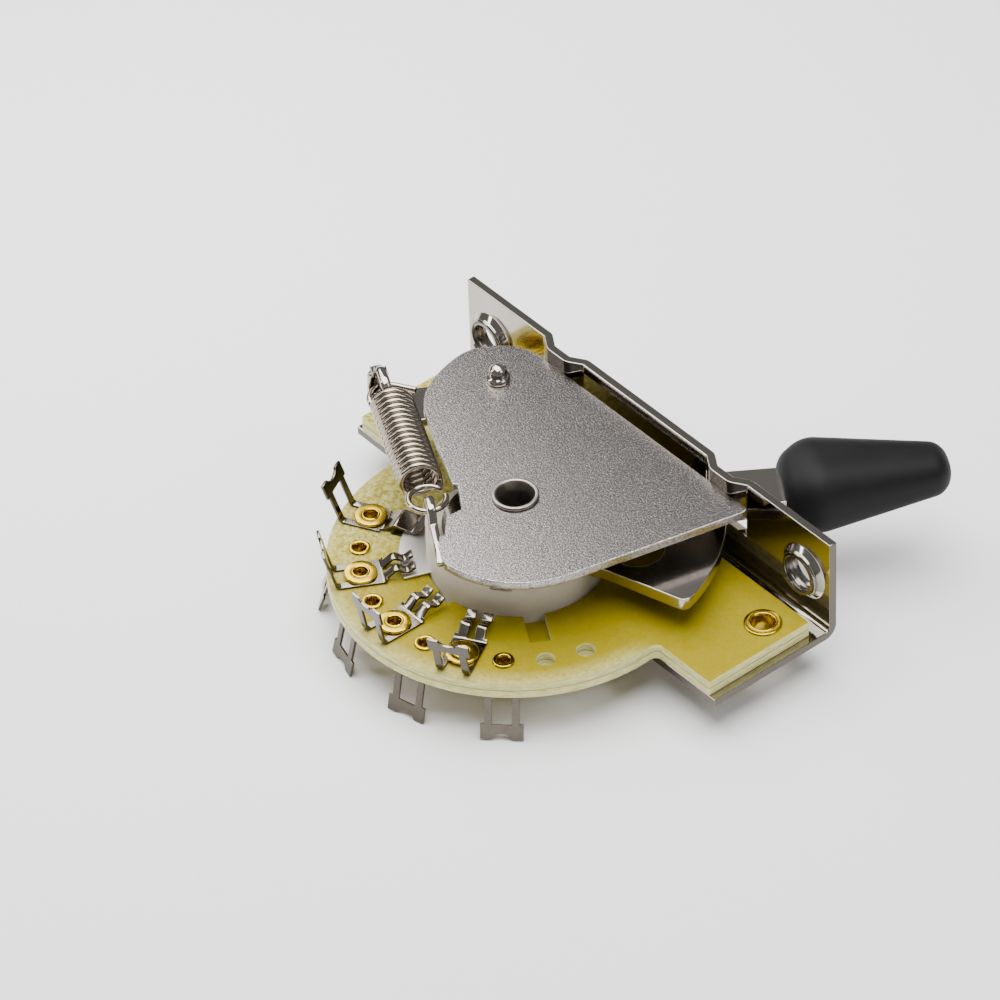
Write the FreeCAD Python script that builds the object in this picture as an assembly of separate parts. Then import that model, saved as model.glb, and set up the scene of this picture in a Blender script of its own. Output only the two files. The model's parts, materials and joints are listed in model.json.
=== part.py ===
import FreeCAD, Part
import math
import os
from FreeCAD import Matrix, Placement, Rotation, Vector

# Open-frame lever switch that selects the pickups of an electric guitar.
# Millimetres. X runs along the mounting flange, +Y leaves the mounting face towards the knob,
# +Z is up. The origin is on the mounting face, halfway between the two threaded holes.
# The shape stands in its clockwise end position: every joint is at zero here.

# Frame: one folded sheet, an upright flange and a foot
sheet = 0.8
flange_length = 47.6
flange_up = 4.8
flange_down = 5.6
foot_depth = 13.8
fold_radius = 0.8
foot_notch_radius = 10.5
slot_end_clearance = 1.1911
slot_height = 2.2
dip_centre = 10.7
dip_length = 5.0
dip_depth = 0.9
dip_ramp = 1.4
dip_bend = 0.7

# Threaded mounting holes and the collars drawn from the sheet around them
screw_spacing = 41.3
thread_diameter = 3.5
collar_diameter = 4.2
collar_height = 0.75
collar_root = 0.5
collar_lip = 0.15

# Switch wafer: two boards on top of the foot
board_thickness = 0.8
board_length = 46.2
board_setback = 1.7
lobe_radius = 16.45
board_bore_radius = 7.95
window_width = 1.85
window_reach = 11.3
terminal_circle = 13.6
terminal_pitch = 15.0
first_terminal_angle = -150.0
spare_hole_diameter = 1.65
inner_corner_radius = 0.7

# Pivot of the lever
pivot_back = 15.3
pivot_tube_diameter = 3.4
pivot_bore_diameter = 2.8
pivot_rim_diameter = 4.1
pivot_rim_height = 0.35
running_clearance = 0.04
washer_diameter = 6.4
end_play = 0.06

# Top plate
plate_top = 3.4
plate_thickness = 0.8
plate_back = 1.7
plate_corner_reach = 3.8
tab_width = 1.8

# Lever, a flat stamping, and its knob
lever_thickness = 1.2
lever_angle = 60.0
lever_travel = 60.0
handle_width_root = 5.5
handle_width_neck = 4.6
handle_width_tip = 4.0
handle_end = 31.5
sector_radius = 17.9
sector_start_angle = 12.9
sector_edge_angle = 17.3
sector_corner = 0.8
sector_hole_diameter = 4.6
sector_hole_circle = 11.0
sector_hole_angle = 29.4
crest_radius = 6.4
notch_depth = 0.52
knob_start = 22.95
knob_end = 37.8
knob_neck_width = 5.0
knob_neck_height = 3.9
knob_width = 8.6
knob_height = 7.2
knob_tip_width = 4.3
knob_tip_height = 3.7
knob_shoulder = 3.3
knob_base_round = 1.6
knob_tip_round = 1.5

# Rotor under the lever
rotor_radius = 7.8
rotor_drop = 1.0
rim_wall = 0.9
rim_height = 1.4
rim_from_angle = -138.0
rim_to_angle = 5.0
blade_thickness = 0.2
blade_lift = 0.15
blade_inner_radius = 6.3
blade_tuck = 0.35
blade_reach = 10.2
blade_from_angle = -156.0
blade_to_angle = -112.0
prong_angle = -50.0
prong_width = 0.45

# Contact clips, punched from thin strip
clip_thickness = 0.25
clip_width = 3.0
ear_width = 3.7
finger_width = 0.85
finger_slit = 0.65
finger_tip_radius = 9.0
finger_peak_radius = 10.6
finger_root_radius = 11.7
finger_peak = 1.15
contact_gap = 0.07
lug_bend_radius_line = 15.8
lug_bend = 0.45
lug_length = 4.2
lug_window_width = 1.7
lug_window_end = 1.35
lug_window_start = 14.75
notch_radius = 1.1
notch_bite = 0.5
ear_length = 1.45
top_lug_leans = [20.0, 15.0, 10.0, 14.0]
bottom_lug_leans = [19.0, 13.0, 14.0, 18.0]
first_clip_shift = -1.7

# Brass eyelets
eyelet_head_diameter = 2.9
eyelet_head_height = 0.34
eyelet_shank_diameter = 1.6
eyelet_bore_diameter = 1.15
eyelet_flare_diameter = 1.9
eyelet_flare_height = 0.22
frame_eyelet_x = 20.6
frame_eyelet_back = 5.5
frame_eyelet_diameter = 2.6
frame_eyelet_bore = 2.1
frame_eyelet_rim = 3.3
frame_eyelet_rim_height = 0.18

# Index mechanism: sprung arm, roller and extension spring
index_x = -12.8
index_back = 6.5
index_pin_diameter = 1.7
index_boss_radius = 2.4
index_ring_diameter = 2.1
index_ring_height = 0.4
index_shoulder_step = 0.35
index_head_height = 0.6
index_stud_height = 1.6
arm_thickness = 0.8
arm_lift = 0.2
arm_link_angle = 237.3
arm_link_width = 4.3
arm_link_reach = 8.0
roller_radius = 1.5
roller_angle = 172.0
roller_height = 1.0
roller_head = 0.2
roller_play = 0.04
roller_pin_diameter = 1.2
ride_clearance = 0.06
spring_height = 3.75
spring_wire = 0.7
spring_diameter = 3.9
spring_turns = 16
spring_length = 11.68
spring_angle = -25.9
spring_beside_pin = -4.5
spring_behind_pin = 8.6
plate_ring_radius = 1.62
plate_ring_sweep = 325.0
plate_ring_gap_angle = 137.0
plate_ring_reach = 2.65
arm_ring_radius = 1.65
arm_ring_drop = 0.35
arm_ring_sweep = 137.0
arm_tail_length = 1.8
hook_thickness = 0.8
plate_hook_width = 0.9
arm_hook_width = 0.95
arm_hook_back_width = 1.6
arm_hook_back = 3.3
hook_gap = 0.02

# Places worked out from the sizes above
flange_inner = -sheet
foot_top = -flange_down + sheet
boards_top = foot_top + 2 * board_thickness
lever_lean = math.radians(lever_angle)
slot_length = 2 * (pivot_back / math.tan(lever_lean) + handle_width_root / 2 / math.sin(lever_lean)
                   + slot_end_clearance)
pivot = Vector(0, -pivot_back, 0)
plate_bottom = plate_top - plate_thickness
lever_top = lever_thickness / 2
lever_bottom = -lever_thickness / 2
index_pin = Vector(index_x, -index_back, 0)
arm_bottom = lever_top + arm_lift
arm_top = arm_bottom + arm_thickness
arm_middle = (arm_top + arm_bottom) / 2
ride_distance = crest_radius + roller_radius + ride_clearance
spring_axis = Vector(math.cos(math.radians(spring_angle)), math.sin(math.radians(spring_angle)), 0)
spring_start = Vector(index_x + spring_beside_pin, -index_back - spring_behind_pin, spring_height)
wire_radius = spring_wire / 2
coil_radius = (spring_diameter - spring_wire) / 2
rotor_bottom = foot_top - rotor_drop
arm_ring_height = spring_height - arm_ring_drop
hook_rise = wire_radius + hook_thickness / 2 + hook_gap


def polar(radius, degrees, centre=Vector(0, 0, 0)):
    """Point at a radius and angle about a centre in the XY plane."""
    turn = math.radians(degrees)
    return centre + Vector(radius * math.cos(turn), radius * math.sin(turn), 0)


def cylinder(radius, low, high, centre=Vector(0, 0, 0)):
    return Part.makeCylinder(radius, high - low, Vector(centre.x, centre.y, low))


def tube(outer, inner, low, high, centre=Vector(0, 0, 0)):
    return cylinder(outer, low, high, centre).cut(cylinder(inner, low, high, centre))


def box(x_range, y_range, z_range):
    size = [span[1] - span[0] for span in (x_range, y_range, z_range)]
    return Part.makeBox(size[0], size[1], size[2], Vector(x_range[0], y_range[0], z_range[0]))


def turned(shape, degrees, centre=Vector(0, 0, 0), axis=Vector(0, 0, 1)):
    """Copy of a shape turned about an axis through a centre."""
    copy = shape.copy()
    copy.rotate(centre, axis, degrees)
    return copy


def moved(shape, offset):
    copy = shape.copy()
    copy.translate(offset)
    return copy


def framed(shape, origin, x_axis, y_axis):
    """Copy of a shape from its own axes to the given origin and axes."""
    z_axis = x_axis.cross(y_axis)
    matrix = Matrix(
        x_axis.x, y_axis.x, z_axis.x, origin.x,
        x_axis.y, y_axis.y, z_axis.y, origin.y,
        x_axis.z, y_axis.z, z_axis.z, origin.z,
        0, 0, 0, 1,
    )
    copy = shape.copy()
    copy.Placement = Placement(matrix)
    return copy


def outline(start, steps):
    """Face inside a closed outline of straight steps (one point) and arcs (middle, end)."""
    edges = []
    here = start
    for step in steps:
        if len(step) == 1:
            edges.append(Part.makeLine(here, step[0]))
        else:
            edges.append(Part.Arc(here, step[0], step[1]).toShape())
        here = step[-1]
    if (here - start).Length > 1e-6:
        edges.append(Part.makeLine(here, start))
    return Part.Face(Part.Wire(edges))


def polygon(points):
    return Part.Face(Part.makePolygon(points + [points[0]]))


def prism(face, low, high):
    return moved(face, Vector(0, 0, low)).extrude(Vector(0, 0, high - low))


def folded_strip(points, bend_radius, thickness):
    """Side view of a bent strip: a face of even thickness about a path with rounded bends."""
    half = thickness / 2
    points = [Vector(x, y, 0) for x, y in points]
    along = [(b - a).normalize() for a, b in zip(points, points[1:])]
    left = [Vector(-u.y, u.x, 0) for u in along]
    sides = []
    for offset in (half, -half):
        edges = []
        here = points[0] + left[0] * offset
        for corner in range(1, len(points) - 1):
            before, after = along[corner - 1], along[corner]
            cross = before.x * after.y - before.y * after.x
            turn = math.atan2(abs(cross), before.dot(after))
            side = math.copysign(1, cross)
            trim = bend_radius * math.tan(turn / 2)
            centre = points[corner] - before * trim + left[corner - 1] * (side * bend_radius)
            outward = (points[corner] - centre).normalize()
            first = points[corner] - before * trim + left[corner - 1] * offset
            middle = centre + outward * (bend_radius - side * offset)
            last = points[corner] + after * trim + left[corner] * offset
            edges.append(Part.makeLine(here, first))
            edges.append(Part.Arc(first, middle, last).toShape())
            here = last
        edges.append(Part.makeLine(here, points[-1] + left[-1] * offset))
        sides.append(edges)
    ends = [
        Part.makeLine(points[0] + left[0] * half, points[0] - left[0] * half),
        Part.makeLine(points[-1] + left[-1] * half, points[-1] - left[-1] * half),
    ]
    ordered = Part.__sortEdges__(sides[0] + sides[1] + ends)
    return Part.Face(Part.Wire(ordered))


def bar(face, width):
    """Solid of a side view, centred on its own plane."""
    return moved(face, Vector(0, 0, -width / 2)).extrude(Vector(0, 0, width))


def belt(first, first_radius, second, second_radius):
    """Face of two discs joined by their outer tangents."""
    reach = second - first
    heading = math.degrees(math.atan2(reach.y, reach.x))
    spread = math.degrees(math.acos((first_radius - second_radius) / reach.Length))
    a, b = heading + spread, heading - spread
    return outline(polar(first_radius, a, first), [
        (polar(first_radius, heading + 180, first), polar(first_radius, b, first)),
        (polar(second_radius, b, second),),
        (polar(second_radius, heading, second), polar(second_radius, a, second)),
    ])


def revolved(points, origin, direction):
    """Solid turned from a half section of (radius, height) points about a line."""
    face = polygon([Vector(radius, 0, height) for radius, height in points])
    solid = face.revolve(Vector(0, 0, 0), Vector(0, 0, 1), 360)
    side = Vector(1, 0, 0) if abs(direction.z) > 0.5 else Vector(0, 0, 1)
    return framed(solid, origin, side, direction.cross(side))


def rounded_edges(shape, radius, chosen):
    edges = [edge for edge in shape.Edges if chosen(edge)]
    return shape.makeFillet(radius, edges)


def screw_collar(x):
    """Collar drawn inwards from the sheet, with a sloping root and a soft lip."""
    outer, bore = collar_diameter / 2, thread_diameter / 2
    depth = collar_height
    root = collar_root
    lip = collar_lip
    return revolved([
        (bore, 0), (outer + root, 0), (outer, root),
        (outer, depth - lip), (outer - lip, depth), (bore, depth),
    ], Vector(x, flange_inner, 0), Vector(0, -1, 0))


def make_frame():
    """Folded sheet with lever slot, two inward dips, collars and the notched foot."""
    middle = -sheet / 2
    foot_middle = foot_top - sheet / 2
    section = folded_strip(
        [(middle, flange_up), (middle, foot_middle), (-foot_depth, foot_middle)], fold_radius, sheet)
    frame = framed(section, Vector(-flange_length / 2, 0, 0), Vector(0, 1, 0), Vector(0, 0, 1))
    frame = frame.extrude(Vector(flange_length, 0, 0))
    slot_top = slot_height / 2
    frame = frame.cut(box((-slot_length / 2, slot_length / 2), (-2 * sheet, sheet), (-slot_top, slot_top)))
    near, far = dip_centre - dip_length / 2, dip_centre + dip_length / 2
    deep = middle - dip_depth
    lead = 1.0
    path = [(near - lead, middle), (near, middle), (near + dip_ramp, deep),
            (far - dip_ramp, deep), (far, middle), (far + lead, middle)]
    for side in (1, -1):
        span = sorted((side * (near - lead), side * (far + lead)))
        frame = frame.cut(box(span, (-2 * sheet, sheet), (slot_top, flange_up + 1)))
        dip = folded_strip([(side * x, y) for x, y in path], dip_bend, sheet)
        frame = frame.fuse(prism(dip, slot_top, flange_up))
        tab = (side * dip_centre - tab_width / 2, side * dip_centre + tab_width / 2)
        frame = frame.cut(box(tab, (-3 * sheet, 0), (plate_bottom, plate_top)))
    for side in (1, -1):
        x = side * screw_spacing / 2
        frame = frame.fuse(screw_collar(x))
        drill = Part.makeCylinder(thread_diameter / 2, 2 * sheet, Vector(x, sheet / 2, 0), Vector(0, -1, 0))
        frame = frame.cut(drill)
        eyelet = Vector(side * frame_eyelet_x, -frame_eyelet_back, 0)
        frame = frame.cut(cylinder(frame_eyelet_diameter / 2, -flange_down - 1, foot_top + 1, eyelet))
    frame = frame.cut(cylinder(foot_notch_radius, -flange_down - 1, foot_top + 1, pivot))
    return frame.removeSplitter()


def terminal_angle(place):
    """Angle of a terminal hole about the pivot; the first one sits a little off the even pitch."""
    shift = first_clip_shift if place == 0 else 0.0
    return first_terminal_angle + place * terminal_pitch + shift


def make_board(low, window_angles):
    """One layer of the wafer: strip along the flange with a round lobe."""
    high = low + board_thickness
    half = board_length / 2
    front = -foot_depth + 0.05
    back = flange_inner - board_setback
    strip = box((-half, half), (front, back), (low, high))
    lobe = cylinder(lobe_radius, low, high, pivot)
    lobe = lobe.common(box((-half, half), (-pivot_back - lobe_radius - 1, front + 2), (low, high)))
    board = strip.fuse(lobe).removeSplitter()
    corner_x = math.sqrt(lobe_radius ** 2 - (front + pivot_back) ** 2)
    board = rounded_edges(board, inner_corner_radius, lambda edge: (
        abs(abs(edge.CenterOfMass.x) - corner_x) < 0.05 and abs(edge.CenterOfMass.y - front) < 0.05))
    board = board.cut(cylinder(board_bore_radius, low, high, pivot))
    for angle in window_angles:
        slot = box((0, window_reach), (-window_width / 2, window_width / 2), (low, high))
        board = board.cut(turned(moved(slot, pivot), angle, pivot))
    for place in range(-1, 10):
        used = 0 <= place <= 7
        hole = eyelet_shank_diameter if used else spare_hole_diameter
        centre = polar(terminal_circle, terminal_angle(place), pivot)
        board = board.cut(cylinder(hole / 2, low, high, centre))
    for side in (1, -1):
        eyelet = Vector(side * frame_eyelet_x, -frame_eyelet_back, 0)
        board = board.cut(cylinder(frame_eyelet_diameter / 2, low, high, eyelet))
    return board


def plate_outline():
    """Rounded triangle with a pinch for the spring: lobes round the index pin, the pivot and a tab.

    The pinch is placed from the index pin, as the spring is.
    """
    back = -plate_back
    low = index_pin
    right = dip_centre + plate_corner_reach
    return outline(Vector(low.x + 0.4, back, 0), [
        (low + Vector(-3.5, 3.1, 0), low + Vector(-4.85, -0.1, 0)),
        (low + Vector(-4.35, -2.8, 0), low + Vector(-3.1, -5.5, 0)),
        (low + Vector(-2.1, -6.65, 0), low + Vector(-0.1, -7.9, 0)),
        (low + Vector(8.0, -11.8, 0),),
        (low + Vector(8.3, -11.45, 0),),
        (low + Vector(11.0, -13.2, 0),),
        (low + Vector(10.9, -14.85, 0),),
        (low + Vector(13.4, -17.2, 0),),
        (spring_point(plate_hook_root - 0.5, -0.45),),
        (spring_point(plate_hook_root + 1.2, -0.45),),
        (pivot + Vector(7.5, -8.05, 0), pivot + Vector(10.8, -2.7, 0)),
        (Vector(right, back - 0.6, 0),),
        (Vector(right - 0.1, back, 0),),
    ])


def spring_point(along, across, height=0.0):
    """Point measured along the spring from the start of its coil, and across it."""
    side = Vector(-spring_axis.y, spring_axis.x, 0)
    point = spring_start + spring_axis * along + side * across
    return Vector(point.x, point.y, height)


plate_ring_centre = spring_length + plate_ring_reach
plate_hook_root = plate_ring_centre + 6.8


def hook(points, width):
    """Bent hook standing over the spring's line; its points run along the spring and up."""
    side_view = folded_strip(points, hook_thickness, hook_thickness)
    origin = Vector(spring_start.x, spring_start.y, 0)
    return framed(bar(side_view, width), origin, spring_axis, Vector(0, 0, 1))


def hook_seat(ring_radius, width):
    """Distance from a ring's centre to the middle of a hook of that width resting inside it."""
    inner = ring_radius - wire_radius - hook_gap
    return math.sqrt(inner ** 2 - (width / 2) ** 2) - hook_thickness / 2


def make_top_plate():
    """Flat plate with two staked tabs and the fixed spring hook."""
    plate = prism(plate_outline(), plate_bottom, plate_top)
    for side in (1, -1):
        tab = (side * dip_centre - tab_width / 2, side * dip_centre + tab_width / 2)
        tab_end = -dip_depth
        plate = plate.fuse(box(tab, (-plate_back - 0.5, tab_end), (plate_bottom, plate_top)))
    middle = plate_top - hook_thickness / 2
    inside = plate_ring_centre + hook_seat(plate_ring_radius, plate_hook_width)
    plate = plate.fuse(hook([
        (plate_ring_centre + 7.6, middle), (plate_ring_centre + 6.0, middle),
        (plate_ring_centre + 3.4, spring_height + hook_rise), (inside + 0.1, spring_height + hook_rise),
        (inside - 0.35, spring_height - 0.9)], plate_hook_width))
    plate = plate.cut(cylinder(pivot_tube_diameter / 2, plate_bottom - 1, plate_top + 1, pivot))
    plate = plate.cut(cylinder(index_pin_diameter / 2, plate_bottom - 1, plate_top + 1, index_pin))
    return plate.removeSplitter()


def make_pivot_eyelet():
    """Hollow rivet: rolled rims above the plate and below the rotor."""
    outer, bore, rim = pivot_tube_diameter / 2, pivot_bore_diameter / 2, pivot_rim_diameter / 2
    top = plate_top + pivot_rim_height
    bottom = rotor_bottom - end_play
    soft = 0.15
    return revolved([
        (bore, bottom - pivot_rim_height), (rim, bottom - pivot_rim_height), (rim, bottom), (outer, bottom),
        (outer, plate_top), (rim, plate_top), (rim - soft, top), (bore, top),
    ], pivot, Vector(0, 0, 1))


def handle_face():
    """Tapered handle of the lever, lying along +X from the pivot."""
    root, neck, tip = handle_width_root / 2, handle_width_neck / 2, handle_width_tip / 2
    corner = 0.6
    side = [(0, root), (sector_radius, root), (knob_start, neck), (handle_end - corner, tip),
            (handle_end, tip - corner)]
    return polygon([Vector(x, -y, 0) for x, y in side] + [Vector(x, y, 0) for x, y in reversed(side)])


def lever_outline():
    """Flat stamping about the pivot: hub, handle and rounded sector, in end position."""
    hub = cylinder(crest_radius, lever_bottom, lever_top, pivot)
    handle = turned(moved(prism(handle_face(), lever_bottom, lever_top), pivot), lever_angle, pivot)
    tip_corner = polar(sector_radius, sector_start_angle, pivot)
    edge_end = tip_corner + polar(-7.2, sector_edge_angle)
    root = polar(crest_radius - 0.1, sector_start_angle - 27, pivot)
    bend = edge_end + polar(-2.6, sector_edge_angle + 9)
    sector_mid = (sector_start_angle + lever_angle) / 2
    sector = prism(outline(pivot, [
        (root,), (bend, edge_end), (tip_corner,),
        (polar(sector_radius, sector_mid, pivot), polar(sector_radius, lever_angle, pivot)),
    ]), lever_bottom, lever_top)
    sector = rounded_edges(sector, sector_corner, lambda edge: (
        Vector(edge.CenterOfMass.x - tip_corner.x, edge.CenterOfMass.y - tip_corner.y, 0).Length < 0.01))
    return hub.fuse(handle).fuse(sector)


def seated_roller_centre():
    """Centre of the roller once the arm has turned it down into a notch."""
    riding = polar(ride_distance, roller_angle, pivot)
    low, high = 0.0, 12.0
    for _ in range(40):
        turn = (low + high) / 2
        centre = Rotation(Vector(0, 0, 1), turn).multVec(riding - index_pin) + index_pin
        if (centre - pivot).Length > ride_distance - notch_depth:
            low = turn
        else:
            high = turn
    return centre


def make_lever():
    """Lever with three notches for the roller, one for each position of the switch."""
    lever = lever_outline()
    hole = polar(sector_hole_circle, sector_hole_angle, pivot)
    lever = lever.cut(cylinder(sector_hole_diameter / 2, lever_bottom - 1, lever_top + 1, hole))
    notch = cylinder(roller_radius + ride_clearance, lever_bottom - 1, lever_top + 1, seated_roller_centre())
    for place in range(3):
        lever = lever.cut(turned(notch, -place * lever_travel / 2, pivot))
    bore = pivot_tube_diameter / 2 + running_clearance
    lever = lever.cut(cylinder(bore, lever_bottom - 1, lever_top + 1, pivot))
    return lever.removeSplitter()


def rounded_section(width, height, corner, distance):
    """Closed section of the knob across the lever: a rectangle with large round corners."""
    w, h = width / 2, height / 2
    bulge = corner * (1 - math.sqrt(0.5))
    points = []
    for side_y, side_z in ((1, 1), (-1, 1), (-1, -1), (1, -1)):
        first = (side_y * w, side_z * (h - corner))
        middle = (side_y * (w - bulge), side_z * (h - bulge))
        last = (side_y * (w - corner), side_z * h)
        points.append((first, middle, last) if side_y * side_z > 0 else (last, middle, first))
    edges = []
    for index, (first, middle, last) in enumerate(points):
        spots = [Vector(distance, y, z) for y, z in (first, middle, last)]
        edges.append(Part.Arc(*spots).toShape())
        following = points[(index + 1) % 4][0]
        edges.append(Part.makeLine(spots[2], Vector(distance, following[0], following[1])))
    return Part.Wire(edges)


def make_knob():
    """Tapered knob pushed onto the lever's end, with a sloping shoulder at its base."""
    base = rounded_section(knob_neck_width, knob_neck_height, knob_neck_height * 0.42, knob_start)
    wide = rounded_section(knob_width, knob_height, knob_height * 0.42, knob_start + knob_shoulder)
    tip = rounded_section(knob_tip_width, knob_tip_height, knob_tip_height * 0.42, knob_end)
    shoulder = Part.makeLoft([base, wide], True, True)
    body = Part.makeLoft([wide, tip], True, True)
    knob = shoulder.fuse(body).removeSplitter()
    knob = rounded_edges(knob, knob_tip_round, lambda edge: abs(edge.BoundBox.XMin - knob_end) < 1e-4)
    ridge = knob_start + knob_shoulder
    knob = rounded_edges(knob, knob_base_round, lambda edge: (
        abs(edge.BoundBox.XMin - ridge) < 1e-4 and abs(edge.BoundBox.XMax - ridge) < 1e-4))
    pocket = prism(handle_face(), lever_bottom, lever_top)
    return turned(moved(knob.cut(pocket), pivot), lever_angle, pivot)


def ring_sector(outer, inner, start, end, low, high):
    """Part of a flat ring about the pivot."""
    middle = (start + end) / 2
    face = outline(polar(inner, start, pivot), [
        (polar(inner, middle, pivot), polar(inner, end, pivot)),
        (polar(outer, end, pivot),),
        (polar(outer, middle, pivot), polar(outer, start, pivot)),
    ])
    return prism(face, low, high)


def prong_stems():
    """Two tails of the upper contact blade, bent up into the rotor's side."""
    low = boards_top + blade_lift
    stems = []
    for side in (-1, 1):
        middle = side * prong_width
        width = (middle - prong_width / 2, middle + prong_width / 2)
        stem = box((rotor_radius - 0.5, rotor_radius - 0.2), width, (low, lever_bottom + 0.55))
        stems.append(turned(moved(stem, pivot), prong_angle, pivot))
    return stems


def make_rotor():
    """Moulded rotor: body, rim that locates the lever, the two contact blades moulded in."""
    bore = pivot_tube_diameter / 2 + running_clearance
    rotor = tube(rotor_radius, bore, rotor_bottom, lever_bottom, pivot)
    rotor = rotor.fuse(ring_sector(rotor_radius, rotor_radius - rim_wall, rim_from_angle, rim_to_angle,
                                   lever_bottom - 0.5, lever_bottom + rim_height))
    rotor = rotor.cut(lever_outline())
    opening = (lever_bottom + 0.05, lever_bottom + 0.65)
    recess = box((rotor_radius - 0.5, rotor_radius + 1), (-0.95, 0.95), opening)
    rotor = rotor.cut(turned(moved(recess, pivot), prong_angle, pivot))
    upper_level, lower_level = blade_levels()
    rotor = rotor.cut(make_rotor_blade(upper_level, True))
    rotor = rotor.cut(make_rotor_blade(lower_level, False))
    return rotor.removeSplitter()


def blade_levels():
    """Undersides of the upper and of the lower contact blade."""
    return (boards_top + blade_lift, foot_top - blade_lift - blade_thickness)


def make_rotor_blade(low, with_stems):
    """Ring held inside the rotor, with one wide contact wing that leaves it."""
    high = low + blade_thickness
    blade = tube(rotor_radius - blade_tuck, blade_inner_radius, low, high, pivot)
    wing = ring_sector(blade_reach, blade_inner_radius + 0.2, blade_from_angle, blade_to_angle, low, high)
    blade = blade.fuse(wing)
    if with_stems:
        for stem in prong_stems():
            blade = blade.fuse(stem)
    return blade.removeSplitter()


def clip_blank(lean):
    """Contact clip lying flat on z = 0, radius along X, with its lug bent up."""
    half = clip_thickness / 2
    rise = Vector(math.sin(math.radians(lean)), math.cos(math.radians(lean)), 0)
    bend = Vector(lug_bend_radius_line, half, 0)
    lug_end = bend + rise * lug_length
    touch = blade_lift + blade_thickness + contact_gap + half
    side_view = folded_strip([
        (finger_tip_radius, touch + 0.55), (finger_tip_radius + 0.75, touch),
        (finger_peak_radius, finger_peak), (finger_root_radius, half), (bend.x, half), (lug_end.x, lug_end.y),
    ], lug_bend, clip_thickness)
    clip = framed(bar(side_view, ear_width), Vector(0, 0, 0), Vector(1, 0, 0), Vector(0, 0, 1))
    wide, narrow = ear_width, clip_width / 2
    tall = lug_length + 2
    fingers_half = finger_width + finger_slit / 2
    for side in (1, -1):
        beside_fingers = sorted((side * fingers_half, side * wide))
        clip = clip.cut(box((0, finger_root_radius - 0.2), beside_fingers, (-1, tall)))
        beside_base = sorted((side * narrow, side * wide))
        clip = clip.cut(box((0, lug_bend_radius_line - 0.5), beside_base, (-1, tall)))
        shank = box((-0.5, lug_length - ear_length), beside_base, (-2, 2))
        clip = clip.cut(lug_tool(shank, bend, rise))
    slit = (-finger_slit / 2, finger_slit / 2)
    clip = clip.cut(box((0, finger_root_radius), slit, (-1, tall)))
    window = (-lug_window_width / 2, lug_window_width / 2)
    clip = clip.cut(box((lug_window_start, lug_bend_radius_line + 0.1), window, (-1, half * 3)))
    clip = clip.cut(lug_tool(box((0, lug_length - lug_window_end), window, (-1, 1)), bend, rise))
    end_notch = cylinder(notch_radius, -1, 1, Vector(lug_length - notch_bite + notch_radius, 0, 0))
    return clip.cut(lug_tool(end_notch, bend, rise))


def lug_tool(tool, bend, rise):
    """Cutting tool given along the lug (X) and across it (Y), placed on the leaning lug."""
    along = Vector(rise.x, 0, rise.y)
    return framed(tool, Vector(bend.x, 0, bend.y), along, Vector(0, 1, 0))


def common_clip_fingers(clip):
    """The first clip of each side is the common one: its fingers are one plain tongue."""
    half = clip_thickness / 2
    touch = blade_lift + blade_thickness + contact_gap + half
    tongue = folded_strip([
        (finger_tip_radius - 0.6, touch + 0.5), (finger_tip_radius + 0.3, touch),
        (finger_peak_radius + 0.3, finger_peak * 0.75), (finger_root_radius + 0.3, half),
        (finger_root_radius + 1.0, half),
    ], lug_bend, clip_thickness)
    width = 2 * finger_width + finger_slit
    plain = framed(bar(tongue, width), Vector(0, 0, 0), Vector(1, 0, 0), Vector(0, 0, 1))
    body = clip.cut(box((0, finger_root_radius + 0.5), (-3, 3), (-1, 2)))
    return body.fuse(plain).removeSplitter()


def make_clip(side, number):
    """Clip on the top (side 1) or underside (side -1) of the wafer, numbered from 0."""
    lean = (top_lug_leans if side > 0 else bottom_lug_leans)[number]
    clip = clip_blank(lean)
    if number == 0:
        clip = common_clip_fingers(clip)
    clip = clip.cut(cylinder(eyelet_shank_diameter / 2, -1, 1, Vector(terminal_circle, 0, 0)))
    if side < 0:
        clip = clip.mirror(Vector(0, 0, 0), Vector(0, 0, 1))
    level = boards_top if side > 0 else foot_top
    angle = clip_angle(side, number)
    return turned(moved(clip, Vector(pivot.x, pivot.y, level)), angle, pivot)


def clip_angle(side, number):
    return terminal_angle(2 * number + (0 if side > 0 else 1))


def make_clip_eyelet(side, number):
    """Brass eyelet through both boards, its head on the clip and a flare on the far side."""
    head, flare = eyelet_head_diameter / 2, eyelet_flare_diameter / 2
    shank, bore = eyelet_shank_diameter / 2, eyelet_bore_diameter / 2
    stack = 2 * board_thickness + clip_thickness
    centre = polar(terminal_circle, clip_angle(side, number), pivot)
    level = boards_top + clip_thickness if side > 0 else foot_top - clip_thickness
    return revolved([
        (bore, eyelet_head_height), (head, eyelet_head_height), (head, 0), (shank, 0),
        (shank, -stack), (flare, -stack), (bore, -stack - eyelet_flare_height),
    ], Vector(centre.x, centre.y, level), Vector(0, 0, side))


def make_frame_eyelet(side):
    """Large brass eyelet that clamps both boards to the foot."""
    bore, shank, rim = frame_eyelet_bore / 2, frame_eyelet_diameter / 2, frame_eyelet_rim / 2
    top, bottom = boards_top, -flange_down
    thick = frame_eyelet_rim_height
    return revolved([
        (bore, bottom - thick), (rim, bottom - thick), (rim, bottom), (shank, bottom),
        (shank, top), (rim, top), (rim, top + thick), (bore, top + thick),
    ], Vector(side * frame_eyelet_x, -frame_eyelet_back, 0), Vector(0, 0, 1))


def make_pivot_washer():
    """Spacer between the lever and the top plate."""
    return tube(washer_diameter / 2, pivot_tube_diameter / 2, lever_top + end_play, plate_bottom, pivot)


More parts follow.
